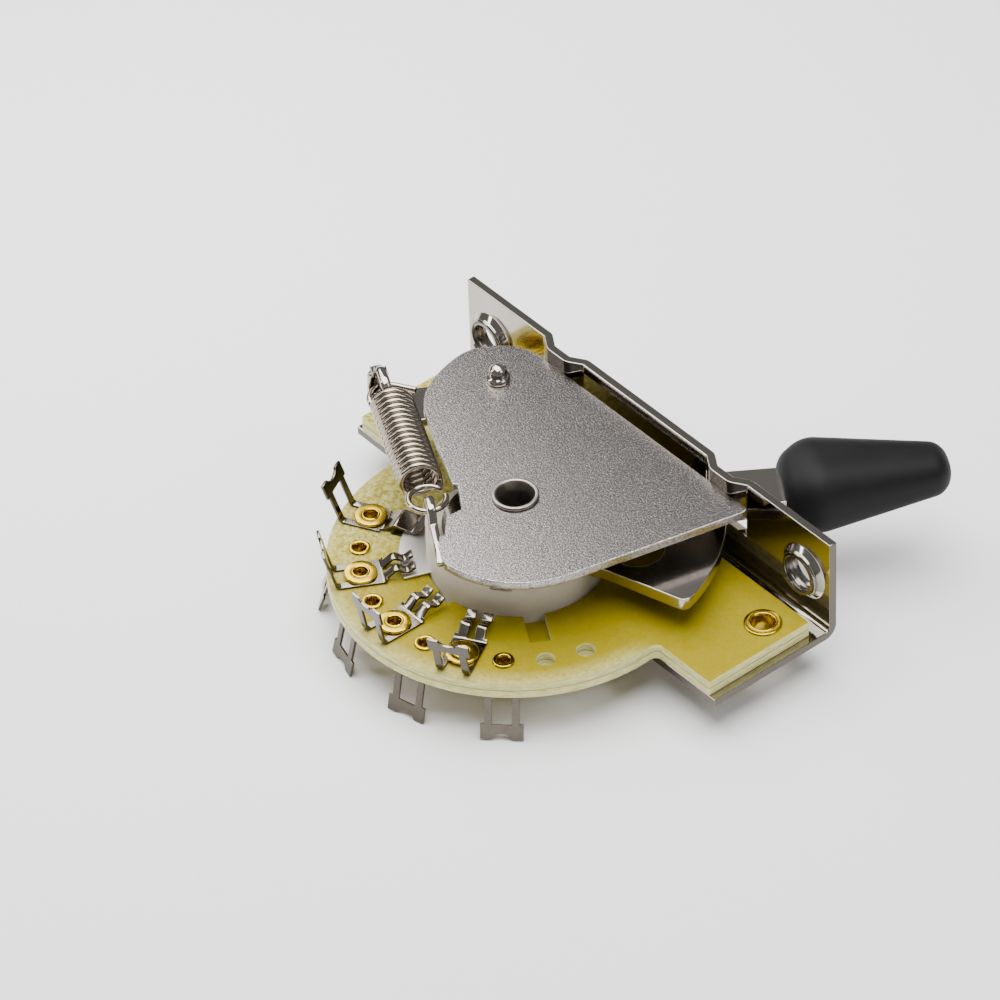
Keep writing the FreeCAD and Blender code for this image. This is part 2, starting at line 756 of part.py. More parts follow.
def make_index_pin():
    """Shouldered rivet: domed stud with a ring above the plate, shoulder and head below it."""
    pin, ring = index_pin_diameter / 2, index_ring_diameter / 2
    shoulder = pin + index_shoulder_step
    head = shoulder + index_shoulder_step
    top = plate_top + index_stud_height
    under = arm_bottom - index_head_height
    return revolved([
        (0, under), (head, under), (head, arm_bottom - end_play),
        (shoulder, arm_bottom - end_play), (shoulder, arm_top + end_play), (head, arm_top + end_play),
        (head, plate_bottom), (pin, plate_bottom), (pin, plate_top), (ring, plate_top),
        (ring, plate_top + index_ring_height), (pin, plate_top + index_ring_height + 0.2),
        (pin, top - 0.5), (pin * 0.6, top - 0.08), (0, top),
    ], index_pin, Vector(0, 0, 1))


def roller_centre():
    return polar(ride_distance, roller_angle, pivot)


def make_index_arm():
    """Sprung arm: boss on the index pin, finger to the roller, link to the spring hook."""
    centre = roller_centre()
    arm = prism(belt(index_pin, index_boss_radius, centre, 2.0), arm_bottom, arm_top)
    half = arm_link_width / 2
    link = polygon([Vector(0, -half, 0), Vector(arm_link_reach, -half, 0), Vector(arm_link_reach, half, 0),
                    Vector(0, half, 0)])
    link = turned(moved(prism(link, arm_bottom, arm_top), index_pin), arm_link_angle, index_pin)
    arm = arm.fuse(link)
    tip = -hook_seat(arm_ring_radius, arm_hook_width)
    arm = arm.fuse(hook([
        (-arm_hook_back + 1.4, arm_middle), (-arm_hook_back, arm_middle),
        (-arm_hook_back, arm_ring_height + hook_rise), (tip, arm_ring_height + hook_rise),
        (tip, arm_ring_height - 0.1)], arm_hook_width))
    back = -arm_hook_back - hook_thickness / 2
    side = -arm_hook_back_width + arm_hook_width / 2
    low = arm_bottom
    rise = arm_ring_height + hook_rise - 0.2 - low
    wing = Part.makeBox(hook_thickness, arm_hook_back_width, rise)
    wing = rounded_edges(wing, 0.7, lambda edge: (
        edge.BoundBox.ZMin > rise - 1e-4 and edge.BoundBox.XLength > 0.1
        and edge.BoundBox.YMax < 1e-4))
    across = Vector(-spring_axis.y, spring_axis.x, 0)
    arm = arm.fuse(framed(wing, spring_point(back, side, low), spring_axis, across))
    corner = polar(arm_link_reach, arm_link_angle, index_pin)
    web = prism(polygon([
        spring_point(back, arm_hook_width / 2), spring_point(back, side),
        spring_point(1 - arm_hook_back, side - 0.2), corner + Vector(1.8, -1.15, 0),
        corner - polar(1.0, arm_link_angle), corner + polar(arm_link_width / 2 - 0.2, arm_link_angle - 90),
    ]), arm_bottom, arm_top)
    arm = arm.fuse(web)
    shoulder = index_pin_diameter / 2 + index_shoulder_step
    arm = arm.cut(cylinder(shoulder + running_clearance, arm_bottom - 1, arm_top + 1, index_pin))
    arm = arm.cut(cylinder(roller_pin_diameter / 2, arm_bottom - 1, arm_top + 1, centre))
    return arm.removeSplitter()


def make_roller_pin():
    """Rivet through the arm's finger that carries the roller."""
    pin = roller_pin_diameter / 2
    low = arm_bottom - 2 * roller_play - roller_height
    head = pin + 0.4
    return revolved([
        (0, low - roller_head), (head, low - roller_head), (head, low), (pin, low), (pin, arm_top),
        (head, arm_top),
        (head - 0.2, arm_top + 0.3), (0, arm_top + 0.3),
    ], roller_centre(), Vector(0, 0, 1))


def make_roller():
    """Hardened roller that drops into the lever's notches."""
    high = arm_bottom - roller_play
    soft = 0.12
    bore = roller_pin_diameter / 2 + running_clearance
    low = high - roller_height
    return revolved([
        (bore, low), (roller_radius - soft, low), (roller_radius, low + soft),
        (roller_radius, high - soft), (roller_radius - soft, high), (bore, high),
    ], roller_centre(), Vector(0, 0, 1))


def wire_arc(along, radius, start, sweep, height):
    """Piece of wire ring in a horizontal plane, centred on the spring's line; its wire has eight sides."""
    section = polygon([Vector(radius + wire_radius * math.cos(turn), 0, wire_radius * math.sin(turn))
                       for turn in [math.radians(22.5 + 45 * side) for side in range(8)]])
    ring = section.revolve(Vector(0, 0, 0), Vector(0, 0, 1), sweep)
    return moved(turned(ring, spring_angle + start), spring_point(along, 0, height))


def wire_run(start, end):
    """Straight piece of wire with a round end at its start."""
    run = Part.makeCylinder(wire_radius, (end - start).Length, start, end - start)
    return run.fuse(Part.makeSphere(wire_radius, start))


def make_index_spring():
    """Extension spring: close turns drawn as rounded rings on a tube, and two end rings."""
    pitch = spring_length / spring_turns
    inner = coil_radius - wire_radius * 0.55
    section = [(inner, spring_length), (inner, 0)]
    for turn in range(spring_turns):
        section += [(coil_radius + wire_radius * out, (turn + share) * pitch)
                    for share, out in ((0.0, 0.3), (0.5, 1.0))]
    section.append((coil_radius + wire_radius * 0.3, spring_length))
    face = polygon([Vector(radius, 0, height) for radius, height in section])
    body = face.revolve(Vector(0, 0, 0), Vector(0, 0, 1), 360)
    up = Vector(0, 0, 1)
    spring = framed(body, spring_start, up, spring_axis.cross(up))
    arm_arc_end = 285 - arm_ring_sweep
    spring = spring.fuse(wire_arc(0, arm_ring_radius, arm_arc_end, arm_ring_sweep, arm_ring_height))
    turn = math.radians(arm_arc_end)
    leave = (arm_ring_radius * math.cos(turn), arm_ring_radius * math.sin(turn))
    tail_start = spring_point(leave[0], leave[1], arm_ring_height)
    tail_end = spring_point(leave[0] + arm_tail_length * math.sin(turn),
                            leave[1] - arm_tail_length * math.cos(turn), arm_ring_height)
    spring = spring.fuse(wire_run(tail_start, tail_end))
    turn = math.radians(plate_ring_gap_angle)
    ring_start = spring_point(plate_ring_centre + plate_ring_radius * math.cos(turn),
                              plate_ring_radius * math.sin(turn), spring_height)
    coil_end = spring_point(spring_length - wire_radius, coil_radius - 0.05, spring_height)
    spring = spring.fuse(wire_run(ring_start, coil_end))
    plate_ring = wire_arc(plate_ring_centre, plate_ring_radius, plate_ring_gap_angle, plate_ring_sweep,
                          spring_height)
    return spring.fuse(plate_ring)


def save(name, shape):
    """Writes one node; each node is one valid solid."""
    if len(shape.Solids) != 1 or not shape.isValid():
        raise RuntimeError(name + " is not one valid solid")
    shape.Solids[0].exportStep("parts/" + name + ".step")


os.makedirs("parts", exist_ok=True)
upper_windows = [-150.0 + 30 * place for place in range(5)]
lower_windows = [-135.0 + 30 * place for place in range(5)]
save("frame", make_frame())
save("top_plate", make_top_plate())
save("lower_board", make_board(foot_top, lower_windows))
save("upper_board", make_board(foot_top + board_thickness, upper_windows))
save("pivot_eyelet", make_pivot_eyelet())
save("pivot_washer", make_pivot_washer())
save("lever", make_lever())
save("knob", make_knob())
save("rotor", make_rotor())
upper_level, lower_level = blade_levels()
save("upper_rotor_blade", make_rotor_blade(upper_level, True))
save("lower_rotor_blade", make_rotor_blade(lower_level, False))
save("index_pin", make_index_pin())
save("index_arm", make_index_arm())
save("roller_pin", make_roller_pin())
save("index_roller", make_roller())
save("index_spring", make_index_spring())
for side, place_name in ((1, "top"), (-1, "bottom")):
    for number in range(4):
        save("%s_clip_%d" % (place_name, number + 1), make_clip(side, number))
        save("%s_eyelet_%d" % (place_name, number + 1), make_clip_eyelet(side, number))
for side, place_name in ((-1, "left"), (1, "right")):
    save("frame_eyelet_" + place_name, make_frame_eyelet(side))
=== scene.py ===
"""Looks of an open-frame lever switch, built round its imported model. Run as a script inside Blender."""

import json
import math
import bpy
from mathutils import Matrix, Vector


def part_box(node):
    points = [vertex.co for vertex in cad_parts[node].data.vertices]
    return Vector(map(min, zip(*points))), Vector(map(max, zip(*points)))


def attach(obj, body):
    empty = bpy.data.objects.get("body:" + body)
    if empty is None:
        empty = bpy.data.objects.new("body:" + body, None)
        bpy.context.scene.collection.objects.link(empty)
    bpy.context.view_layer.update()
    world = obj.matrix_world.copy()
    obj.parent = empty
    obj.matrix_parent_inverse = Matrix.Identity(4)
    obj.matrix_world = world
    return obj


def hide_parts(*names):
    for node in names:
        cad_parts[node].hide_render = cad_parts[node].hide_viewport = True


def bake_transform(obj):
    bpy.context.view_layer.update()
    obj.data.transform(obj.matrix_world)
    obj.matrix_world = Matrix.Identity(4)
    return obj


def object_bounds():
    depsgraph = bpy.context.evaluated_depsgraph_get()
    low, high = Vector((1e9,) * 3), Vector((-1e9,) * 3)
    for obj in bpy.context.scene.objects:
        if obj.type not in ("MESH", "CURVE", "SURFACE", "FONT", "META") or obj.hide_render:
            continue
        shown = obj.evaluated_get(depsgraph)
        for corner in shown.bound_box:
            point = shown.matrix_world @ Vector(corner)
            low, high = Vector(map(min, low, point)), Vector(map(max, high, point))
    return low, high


bl_info = {
    "name": "Lever Switch Looks",
    "version": (1, 0, 0),
    "blender": (4, 5, 0),
    "location": "View3D > Sidebar > Lever Switch",
    "description": "Softened stampings, wound spring, rolled eyelets, threads and finishes of a lever switch",
    "category": "Object",
}

import bmesh
import bpy
from bpy.props import FloatProperty, FloatVectorProperty, IntProperty, PointerProperty
from mathutils import Matrix, Vector

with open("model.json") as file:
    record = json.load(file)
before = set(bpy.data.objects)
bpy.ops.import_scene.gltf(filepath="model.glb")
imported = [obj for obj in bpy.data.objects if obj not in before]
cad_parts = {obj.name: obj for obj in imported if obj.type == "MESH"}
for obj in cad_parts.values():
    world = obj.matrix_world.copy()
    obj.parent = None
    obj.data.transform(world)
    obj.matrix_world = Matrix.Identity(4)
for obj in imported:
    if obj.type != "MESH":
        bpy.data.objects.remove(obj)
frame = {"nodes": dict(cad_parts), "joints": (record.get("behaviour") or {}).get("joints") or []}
cad_low, cad_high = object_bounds()

MM = 0.001
joint_place = {joint["name"]: Vector(joint["pos_m"]) for joint in frame["joints"]}
pivot = joint_place["lever_pivot"]
index_pivot = joint_place["index_pivot"]
roller_axis = joint_place["roller_spin"]
lever_heading = math.radians(60)

# The spring's line and the places on it, as the model has them
plate_top = 3.4 * MM
spring_start = Vector((-17.3, -15.1, 3.75)) * MM
spring_heading = math.radians(-25.9)
along_spring = Vector((math.cos(spring_heading), math.sin(spring_heading), 0))
across_spring = Vector((-along_spring.y, along_spring.x, 0))
ring_middle = 14.33 * MM


# Sizes and colours a user may change


class StampingSettings(bpy.types.PropertyGroup):
    """Softened edges and finish of the pressed sheet parts."""

    edge: FloatProperty(
        name="Edge rounding", description="Width of the softened edge of the pressed sheets",
        default=0.09 * MM, unit="LENGTH", precision=6)
    thin_edge: FloatProperty(
        name="Thin edge rounding", description="Width of the softened edge of the thin contact strip",
        default=0.035 * MM, unit="LENGTH", precision=6)
    nickel: FloatVectorProperty(
        name="Nickel", description="Colour of the bright nickel plate",
        default=(0.43, 0.395, 0.35), subtype="COLOR", size=3)
    satin_nickel: FloatVectorProperty(
        name="Satin nickel", description="Colour of the pebbled satin nickel plate",
        default=(0.405, 0.378, 0.362), subtype="COLOR", size=3)
    silver: FloatVectorProperty(
        name="Silver", description="Colour of the silvered rotor blades",
        default=(0.82, 0.80, 0.78), subtype="COLOR", size=3)
    tin: FloatVectorProperty(
        name="Tin", description="Colour of the tinned contact strip",
        default=(0.30, 0.265, 0.215), subtype="COLOR", size=3)


class WaferSettings(bpy.types.PropertyGroup):
    """Finish of the two boards."""

    laminate: FloatVectorProperty(
        name="Laminate", description="Colour of the resin-filled boards",
        default=(0.27, 0.208, 0.0003), subtype="COLOR", size=3)
    # The fibre colour also paints the sheen on the side away from the lever
    fibre: FloatVectorProperty(
        name="Fibre", description="Pale colour of glass fibre near the surface and at cut edges",
        default=(0.74, 0.72, 0.34), subtype="COLOR", size=3)
    edge: FloatProperty(
        name="Board edge rounding", description="Width of the softened edge of each board",
        default=0.07 * MM, unit="LENGTH", precision=6)


class EyeletSettings(bpy.types.PropertyGroup):
    """Sizes of the rolled eyelets."""

    head_radius: FloatProperty(
        name="Head radius", description="Outer radius of a terminal eyelet's rolled head",
        default=1.45 * MM, unit="LENGTH", precision=6)
    bore_radius: FloatProperty(
        name="Bore radius", description="Radius of the hole through a terminal eyelet",
        default=0.575 * MM, unit="LENGTH", precision=6)
    head_height: FloatProperty(
        name="Head height", description="Height of the rolled head above the contact strip",
        default=0.34 * MM, unit="LENGTH", precision=6)
    flare_radius: FloatProperty(
        name="Flare radius", description="Outer radius of the rolled end on the far side",
        default=0.95 * MM, unit="LENGTH", precision=6)
    brass: FloatVectorProperty(
        name="Brass", description="Colour of the eyelets",
        default=(0.62, 0.43, 0.03), subtype="COLOR", size=3)


class SpringSettings(bpy.types.PropertyGroup):
    """Sizes of the wound extension spring."""

    wire_radius: FloatProperty(
        name="Wire radius", description="Radius of the spring wire",
        default=0.28 * MM, unit="LENGTH", precision=6)
    coil_radius: FloatProperty(
        name="Coil radius", description="Distance from the spring's line to the middle of its wire",
        default=1.66 * MM, unit="LENGTH", precision=6)
    coil_start: FloatProperty(
        name="Coil start", description="Distance from the middle of the arm's ring to the first turn",
        default=1.35 * MM, unit="LENGTH", precision=6)
    coil_length: FloatProperty(
        name="Coil length", description="Length of the close-wound turns",
        default=10.6 * MM, unit="LENGTH", precision=6)
    turns: IntProperty(
        name="Turns", description="Number of close-wound turns, less half a turn", default=15, min=4, max=40)
    wire: FloatVectorProperty(
        name="Wire", description="Colour of the drawn wire",
        default=(0.38, 0.325, 0.26), subtype="COLOR", size=3)


class KnobSettings(bpy.types.PropertyGroup):
    """Sizes of the push-on knob, measured from the lever's pivot."""

    start: FloatProperty(
        name="Start", description="Distance from the pivot to the knob's neck",
        default=22.95 * MM, unit="LENGTH", precision=6)
    end: FloatProperty(
        name="End", description="Distance from the pivot to the knob's tip",
        default=37.8 * MM, unit="LENGTH", precision=6)
    shoulder: FloatProperty(
        name="Shoulder", description="Length of the sloping shoulder at the neck",
        default=2.5 * MM, unit="LENGTH", precision=6)
    moulding: FloatVectorProperty(
        name="Moulding", description="Colour of the knob",
        default=(0.0065, 0.0065, 0.0070), subtype="COLOR", size=3)


class ThreadSettings(bpy.types.PropertyGroup):
    """Sizes of the screw thread in the two collars."""

    bore_radius: FloatProperty(
        name="Thread radius", description="Radius at the root of the thread",
        default=1.75 * MM, unit="LENGTH", precision=6)
    pitch: FloatProperty(
        name="Pitch", description="Distance from one thread ridge to the next",
        default=0.42 * MM, unit="LENGTH", precision=6)
    spacing: FloatProperty(
        name="Hole spacing", description="Distance between the two threaded holes",
        default=41.3 * MM, unit="LENGTH", precision=6)


class StageSettings(bpy.types.PropertyGroup):
    """Floor, lights and camera."""

    floor_size: FloatProperty(
        name="Floor size", description="Side length of the floor", default=3.0, unit="LENGTH")
    floor_colour: FloatVectorProperty(
        name="Floor colour", description="Colour of the pale floor",
        default=(0.90, 0.90, 0.90), subtype="COLOR", size=3)
    key_energy: FloatProperty(
        name="Key energy", description="Power of the soft light behind the switch",
        default=0.14, unit="POWER")
    overhead_energy: FloatProperty(
        name="Overhead energy", description="Power of the wide soft light above the switch",
        default=6.0, unit="POWER")
    fill_energy: FloatProperty(
        name="Fill energy", description="Power of the soft light beside the camera",
        default=0.5, unit="POWER")
    world_strength: FloatProperty(
        name="Surround", description="Strength of the even light from all round", default=0.25)
    lens: FloatProperty(
        name="Lens", description="Focal length in millimetres on a 36 mm wide image", default=244.96)


# Node helpers, shader groups and finishes


def add_node(tree, kind, inputs, **settings):
    """New node with its settings, and its inputs linked or set by name or number."""
    node = tree.nodes.new(kind)
    for name, value in settings.items():
        setattr(node, name, value)
    for label, value in inputs.items():
        if isinstance(value, bpy.types.NodeSocket):
            tree.links.new(value, node.inputs[label])
        else:
            node.inputs[label].default_value = value
    return node


def math_node(tree, operation, first, second=0.0):
    """Math node of two values or sockets; returns its output."""
    return add_node(tree, "ShaderNodeMath", {0: first, 1: second}, operation=operation).outputs[0]


def mix_colour(tree, factor, first, second):
    """Colour mix by a factor socket; the colours are sockets or constant values."""
    # 6 and 7 are the colour inputs of the Mix node and 2 its colour output
    node = add_node(tree, "ShaderNodeMix", {"Factor": factor, 6: first, 7: second}, data_type="RGBA")
    return node.outputs[2]


def spread(tree, value, low, high, out_low, out_high):
    """Map a value's range to another range, clamped."""
    return add_node(tree, "ShaderNodeMapRange", {
        "Value": value, "From Min": low, "From Max": high, "To Min": out_low, "To Max": out_high},
        clamp=True).outputs["Result"]


def noise(tree, coordinate, scale, detail=2.0, rough=0.5):
    """Noise texture on a coordinate; the scale is a number or a socket."""
    return add_node(tree, "ShaderNodeTexNoise", {
        "Vector": coordinate, "Scale": scale, "Detail": detail, "Roughness": rough}).outputs["Fac"]


def bumped(tree, height, distance):
    """Normal from a height; the distance is a number or a socket, in metres."""
    return add_node(tree, "ShaderNodeBump", {
        "Strength": 1.0, "Height": height, "Distance": distance}).outputs["Normal"]


def object_place(tree):
    """Object coordinates, the axes of the surface's normal and the axes of the coordinates."""
    place = tree.nodes.new("ShaderNodeTexCoord").outputs
    facing, spot = (add_node(tree, "ShaderNodeSeparateXYZ", {0: place[label]}).outputs
                    for label in ("Normal", "Object"))
    return place["Object"], facing, spot


def shader_group(name, inputs):
    """Shader group with named inputs that puts out colour, roughness and normal."""
    tree = bpy.data.node_groups.new(name, "ShaderNodeTree")
    for label, default in inputs.items():
        kind = "NodeSocketColor" if isinstance(default, tuple) else "NodeSocketFloat"
        socket = tree.interface.new_socket(name=label, in_out="INPUT", socket_type=kind)
        socket.default_value = default
    for label, kind in (("Color", "Color"), ("Roughness", "Float"), ("Normal", "Vector")):
        tree.interface.new_socket(name=label, in_out="OUTPUT", socket_type="NodeSocket" + kind)
    return tree, tree.nodes.new("NodeGroupInput").outputs, tree.nodes.new("NodeGroupOutput").inputs


def put_out(tree, out, colour, rough, normal):
    """Links what a shader group has worked out to its output."""
    for label, socket in (("Color", colour), ("Roughness", rough), ("Normal", normal)):
        tree.links.new(socket, out[label])


def build_plated_group():
    """Plated metal: patches of tone, pebbled grain, roughness that follows both, and painted shade on faces
    turned along a bracket and on upright faces.
    """
    tree, given, out = shader_group("Plated finish", {
        "Bright": (0.7, 0.65, 0.58, 1), "Dull": (0.5, 0.45, 0.38, 1), "Patch Scale": 250.0,
        "Grain Scale": 5000.0, "Grain Depth": 0.000004, "Smoothest": 0.1, "Roughest": 0.25,
        "Painted Edge Shade": 0.0, "Painted Upright Shade": 0.0})
    # Dark brown of the painted shade on turned and upright faces
    painted_shade_colour = (0.085, 0.074, 0.060, 1.0)
    where, facing, spot = object_place(tree)
    along, across, upward = (math_node(tree, "ABSOLUTE", facing[axis]) for axis in "XYZ")
    patches = noise(tree, where, given["Patch Scale"], 3.0, 0.6)
    grain = noise(tree, where, given["Grain Scale"], 2.0, 0.55)
    tone = math_node(tree, "MULTIPLY", spread(tree, patches, 0.38, 0.66, 0.0, 1.0), 0.75)
    share = math_node(tree, "ADD", tone, spread(tree, grain, 0.35, 0.7, 0.0, 0.25))
    # Painted shade: faces turned along a bracket, or out of its foot where that lies behind the flange, are
    # darkened
    behind_flange = spread(tree, spot["Y"], -1.5 * MM, -1.1 * MM, 1.0, 0.0)
    turned_along = math_node(tree, "MAXIMUM", along, math_node(tree, "MULTIPLY", across, behind_flange))
    # Painted shade on the faces turned along a bracket, by the share given for it
    cut = math_node(tree, "MULTIPLY", spread(tree, turned_along, 0.55, 0.9, 0.0, 1.0), given["Painted Edge Shade"])
    # Painted shade on upright faces, by the share given for it
    upright = math_node(tree, "MULTIPLY", spread(tree, upward, 0.25, 0.8, 1.0, 0.0),
                        given["Painted Upright Shade"])
    plating = mix_colour(tree, share, given["Bright"], given["Dull"])
    put_out(tree, out, mix_colour(tree, math_node(tree, "MAXIMUM", cut, upright), plating, painted_shade_colour),
            spread(tree, share, 0.0, 1.0, given["Smoothest"], given["Roughest"]),
            bumped(tree, grain, given["Grain Depth"]))
    return tree


def build_moulded_group():
    """Moulded plastic: faint clouding and a very fine spark-eroded surface."""
    tree, given, out = shader_group("Moulded finish", {
        "Body": (0.02, 0.02, 0.02, 1), "Bloom": (0.05, 0.05, 0.05, 1), "Cloud Scale": 300.0,
        "Grain Scale": 7000.0, "Grain Depth": 0.000003, "Smoothest": 0.4, "Roughest": 0.55})
    where = tree.nodes.new("ShaderNodeTexCoord").outputs["Object"]
    cloud = spread(tree, noise(tree, where, given["Cloud Scale"], 4.0, 0.6), 0.35, 0.7, 0.0, 1.0)
    grain = noise(tree, where, given["Grain Scale"], 2.0, 0.5)
    put_out(tree, out, mix_colour(tree, cloud, given["Body"], given["Bloom"]),
            spread(tree, cloud, 0.0, 1.0, given["Smoothest"], given["Roughest"]),
            bumped(tree, grain, given["Grain Depth"]))
    return tree


def new_material(name):
    """Material with an empty tree but its surface shader and output."""
    material = bpy.data.materials.new(name)
    material.use_nodes = True
    tree = material.node_tree
    return material, tree, tree.nodes["Principled BSDF"]


def coloured(values):
    """Colour of three numbers with its alpha added."""
    return (values[0], values[1], values[2], 1.0)


def shade(values, factor):
    """Colour made lighter or darker by a factor."""
    return tuple(min(1.0, part * factor) for part in values)


def soft_inside(surface, weight, radius):
    """Light that spreads a little under the surface, its reach given for red, green and blue."""
    surface.inputs["Subsurface Weight"].default_value = weight
    surface.inputs["Subsurface Radius"].default_value = radius
    surface.inputs["Subsurface Scale"].default_value = 1.0


def grouped_material(name, group, values):
    """Material that takes colour, roughness and normal from a shared group."""
    material, tree, surface = new_material(name)
    node = add_node(tree, "ShaderNodeGroup", values, node_tree=group)
    for source, target in (("Color", "Base Color"), ("Roughness", "Roughness"), ("Normal", "Normal")):
        tree.links.new(node.outputs[source], surface.inputs[target])
    return material, surface


def plated(name, bright, dull, patch, grain, depth, smoothest, roughest, edge_shade_share=0.0, standing=0.0):
    """Plated finish; edge_shade_share paints shade on faces turned along a bracket, and standing on all
    upright faces.
    """
    material, surface = grouped_material(
        name, bpy.data.node_groups.get("Plated finish") or build_plated_group(), {
            "Bright": coloured(bright), "Dull": coloured(dull), "Patch Scale": patch,
            "Grain Scale": grain, "Grain Depth": depth, "Smoothest": smoothest, "Roughest": roughest,
            "Painted Edge Shade": edge_shade_share, "Painted Upright Shade": standing})
    surface.inputs["Metallic"].default_value = 1.0
    material.diffuse_color = coloured(bright)
    return material


def moulded(name, body, bloom, cloud, grain, depth, smoothest, roughest, softness=0.0):
    """Moulded plastic finish; softness is how much light spreads inside it."""
    material, surface = grouped_material(
        name, bpy.data.node_groups.get("Moulded finish") or build_moulded_group(), {
            "Body": coloured(body), "Bloom": coloured(bloom), "Cloud Scale": cloud, "Grain Scale": grain,
            "Grain Depth": depth, "Smoothest": smoothest, "Roughest": roughest})
    surface.inputs["Metallic"].default_value = 0.0
    surface.inputs["Specular IOR Level"].default_value = 0.14
    material.diffuse_color = coloured(body)
    if softness:
        soft_inside(surface, softness, (0.0012, 0.0010, 0.0007))
    return material


def laminate_material(settings):
    """Resin-filled glass cloth: woven flecks on the faces, pale fibre at the cut edges."""
    material, tree, surface = new_material("Glass laminate")
    where, facing, spot = object_place(tree)

    def times(first, second):
        return math_node(tree, "MULTIPLY", first, second)

    # The weave's wave, in radians for each metre
    weave = 9500.0
    threads = [math_node(tree, "SINE", times(spot[axis], weave)) for axis in "XY"]
    cloud = noise(tree, where, 700.0, 5.0, 0.65)
    flecks = noise(tree, where, 2600.0, 4.0, 0.7)
    woven = math_node(tree, "ADD", times(times(*threads), 0.035), flecks)
    faint = math_node(tree, "ADD", spread(tree, woven, 0.50, 0.72, 0.0, 0.05),
                      spread(tree, cloud, 0.35, 0.70, 0.0, 0.025))
    # Fibre shows through the resin near the round rim; pale flecks over the side away from the lever are
    # painted sheen
    flat_spot = add_node(tree, "ShaderNodeCombineXYZ", {"X": spot["X"], "Y": spot["Y"]})
    from_pivot = add_node(tree, "ShaderNodeVectorMath", {
        0: flat_spot.outputs[0], 1: (pivot.x, pivot.y, 0)}, operation="DISTANCE").outputs["Value"]
    near_rim = spread(tree, from_pivot, 14.6 * MM, 16.4 * MM, 0.0, 0.5)
    on_lobe = spread(tree, spot["Y"], -17.0 * MM, -14.0 * MM, 1.0, 0.0)
    rim = times(times(near_rim, on_lobe), spread(tree, flecks, 0.35, 0.65, 0.4, 1.0))
    painted_sheen_side = times(spread(tree, spot["X"], -12.0 * MM, -2.0 * MM, 0.5, 0.0),
                     spread(tree, flecks, 0.42, 0.58, 0.12, 1.0))
    # Plies lie flat, so the fibre at a cut edge is streaked along it
    cut_side = spread(tree, math_node(tree, "ABSOLUTE", facing["Z"]), 0.25, 0.85, 1.0, 0.0)
    flattened = add_node(tree, "ShaderNodeVectorMath", {0: where, 1: (1, 1, 7)}, operation="MULTIPLY")
    plies = noise(tree, flattened.outputs[0], 900.0, 4.0, 0.7)
    share = times(cut_side, spread(tree, plies, 0.40, 0.62, 0.55, 1.0))
    for mask in (rim, painted_sheen_side, faint):
        share = math_node(tree, "MAXIMUM", share, mask)
    colour = mix_colour(tree, share, coloured(settings.laminate), coloured(settings.fibre))
    tree.links.new(colour, surface.inputs["Base Color"])
    tree.links.new(spread(tree, flecks, 0.3, 0.7, 0.22, 0.42), surface.inputs["Roughness"])
    tree.links.new(bumped(tree, woven, 0.000008), surface.inputs["Normal"])
    surface.inputs["Specular IOR Level"].default_value = 0.14
    soft_inside(surface, 0.25, (0.0009, 0.0008, 0.0002))
    material.diffuse_color = coloured(settings.laminate)
    return material


def finish(name):
    """The finish of that name, made once."""
    found = bpy.data.materials.get(name)
    if found:
        return found
    scene = bpy.context.scene
    sheet = scene.stamping_settings
    nickel, satin, tin, silver, brass, wire, black = (tuple(colour) for colour in (
        sheet.nickel, sheet.satin_nickel, sheet.tin, sheet.silver, scene.eyelet_settings.brass,
        scene.spring_settings.wire, scene.knob_settings.moulding))
    # Bright and dull colour, scale of patches and grain, grain depth, smoothest, roughest, and
    # where they differ from none the shares of painted shade on faces turned along a bracket and on upright
    # faces
    metals = {
        "Bright nickel": (nickel, shade(nickel, 0.86), 160.0, 2600.0, 0.0000010, 0.06, 0.14, 0.93),
        "Pebbled nickel": (shade(satin, 1.25), shade(satin, 0.2), 6200.0, 8600.0, 0.0000180, 0.17, 0.28),
        "Polished steel": (shade(nickel, 1.05), shade(nickel, 0.9), 220.0, 3200.0, 0.0000008, 0.06, 0.15),
        # The tinned strip's upright faces get painted shade
        "Tinned strip": (tin, shade(tin, 0.8), 1500.0, 3000.0, 0.0000014, 0.09, 0.22, 0.0, 0.95),
        "Rolled brass": (brass, shade(brass, 0.8), 600.0, 4200.0, 0.0000016, 0.10, 0.22),
        "Drawn wire": (wire, shade(wire, 0.85), 500.0, 6000.0, 0.0000006, 0.07, 0.13),
        # The thread's darker nickel is painted shade inside the collar's bore
        "Thread with painted shade": (shade(nickel, 0.62), shade(nickel, 0.4), 900.0, 6000.0, 0.0000030, 0.2, 0.32),
        "Lever steel": (shade(nickel, 1.1), shade(nickel, 0.92), 5200.0, 6500.0, 0.0000018, 0.11, 0.19),
        "Rolled tube": (shade(nickel, 0.85), shade(nickel, 0.6), 900.0, 3200.0, 0.0000010, 0.28, 0.40),
        "Silvered blade": (silver, shade(silver, 0.9), 300.0, 3000.0, 0.0000010, 0.36, 0.46),
    }
    # Body and bloom colour, scale of clouds and grain, grain depth, smoothest, roughest, softness
    mouldings = {
        "Black moulding": (black, shade(black, 1.4), 180.0, 5200.0, 0.0000045, 0.50, 0.62),
        "Off-white nylon": (
            (0.62, 0.56, 0.46), (0.70, 0.65, 0.56), 350.0, 4500.0, 0.0000025, 0.35, 0.5, 0.3),
    }
    if name in metals:
        return plated(name, *metals[name])
    if name in mouldings:
        return moulded(name, *mouldings[name])
    if name == "Glass laminate":
        return laminate_material(scene.wafer_settings)
    raise RuntimeError("there is no finish named " + name)


# Mesh helpers


def new_piece(name, mesh):
    """Object for a mesh, at the origin."""
    piece = bpy.data.objects.new(name, mesh)
    bpy.context.scene.collection.objects.link(piece)
    return piece


def built_piece(name, work):
    """Object for what was built, its faces smooth."""
    mesh = bpy.data.meshes.new(name)
    work.to_mesh(mesh)
    work.free()
    smooth(mesh)
    return new_piece(name, mesh)


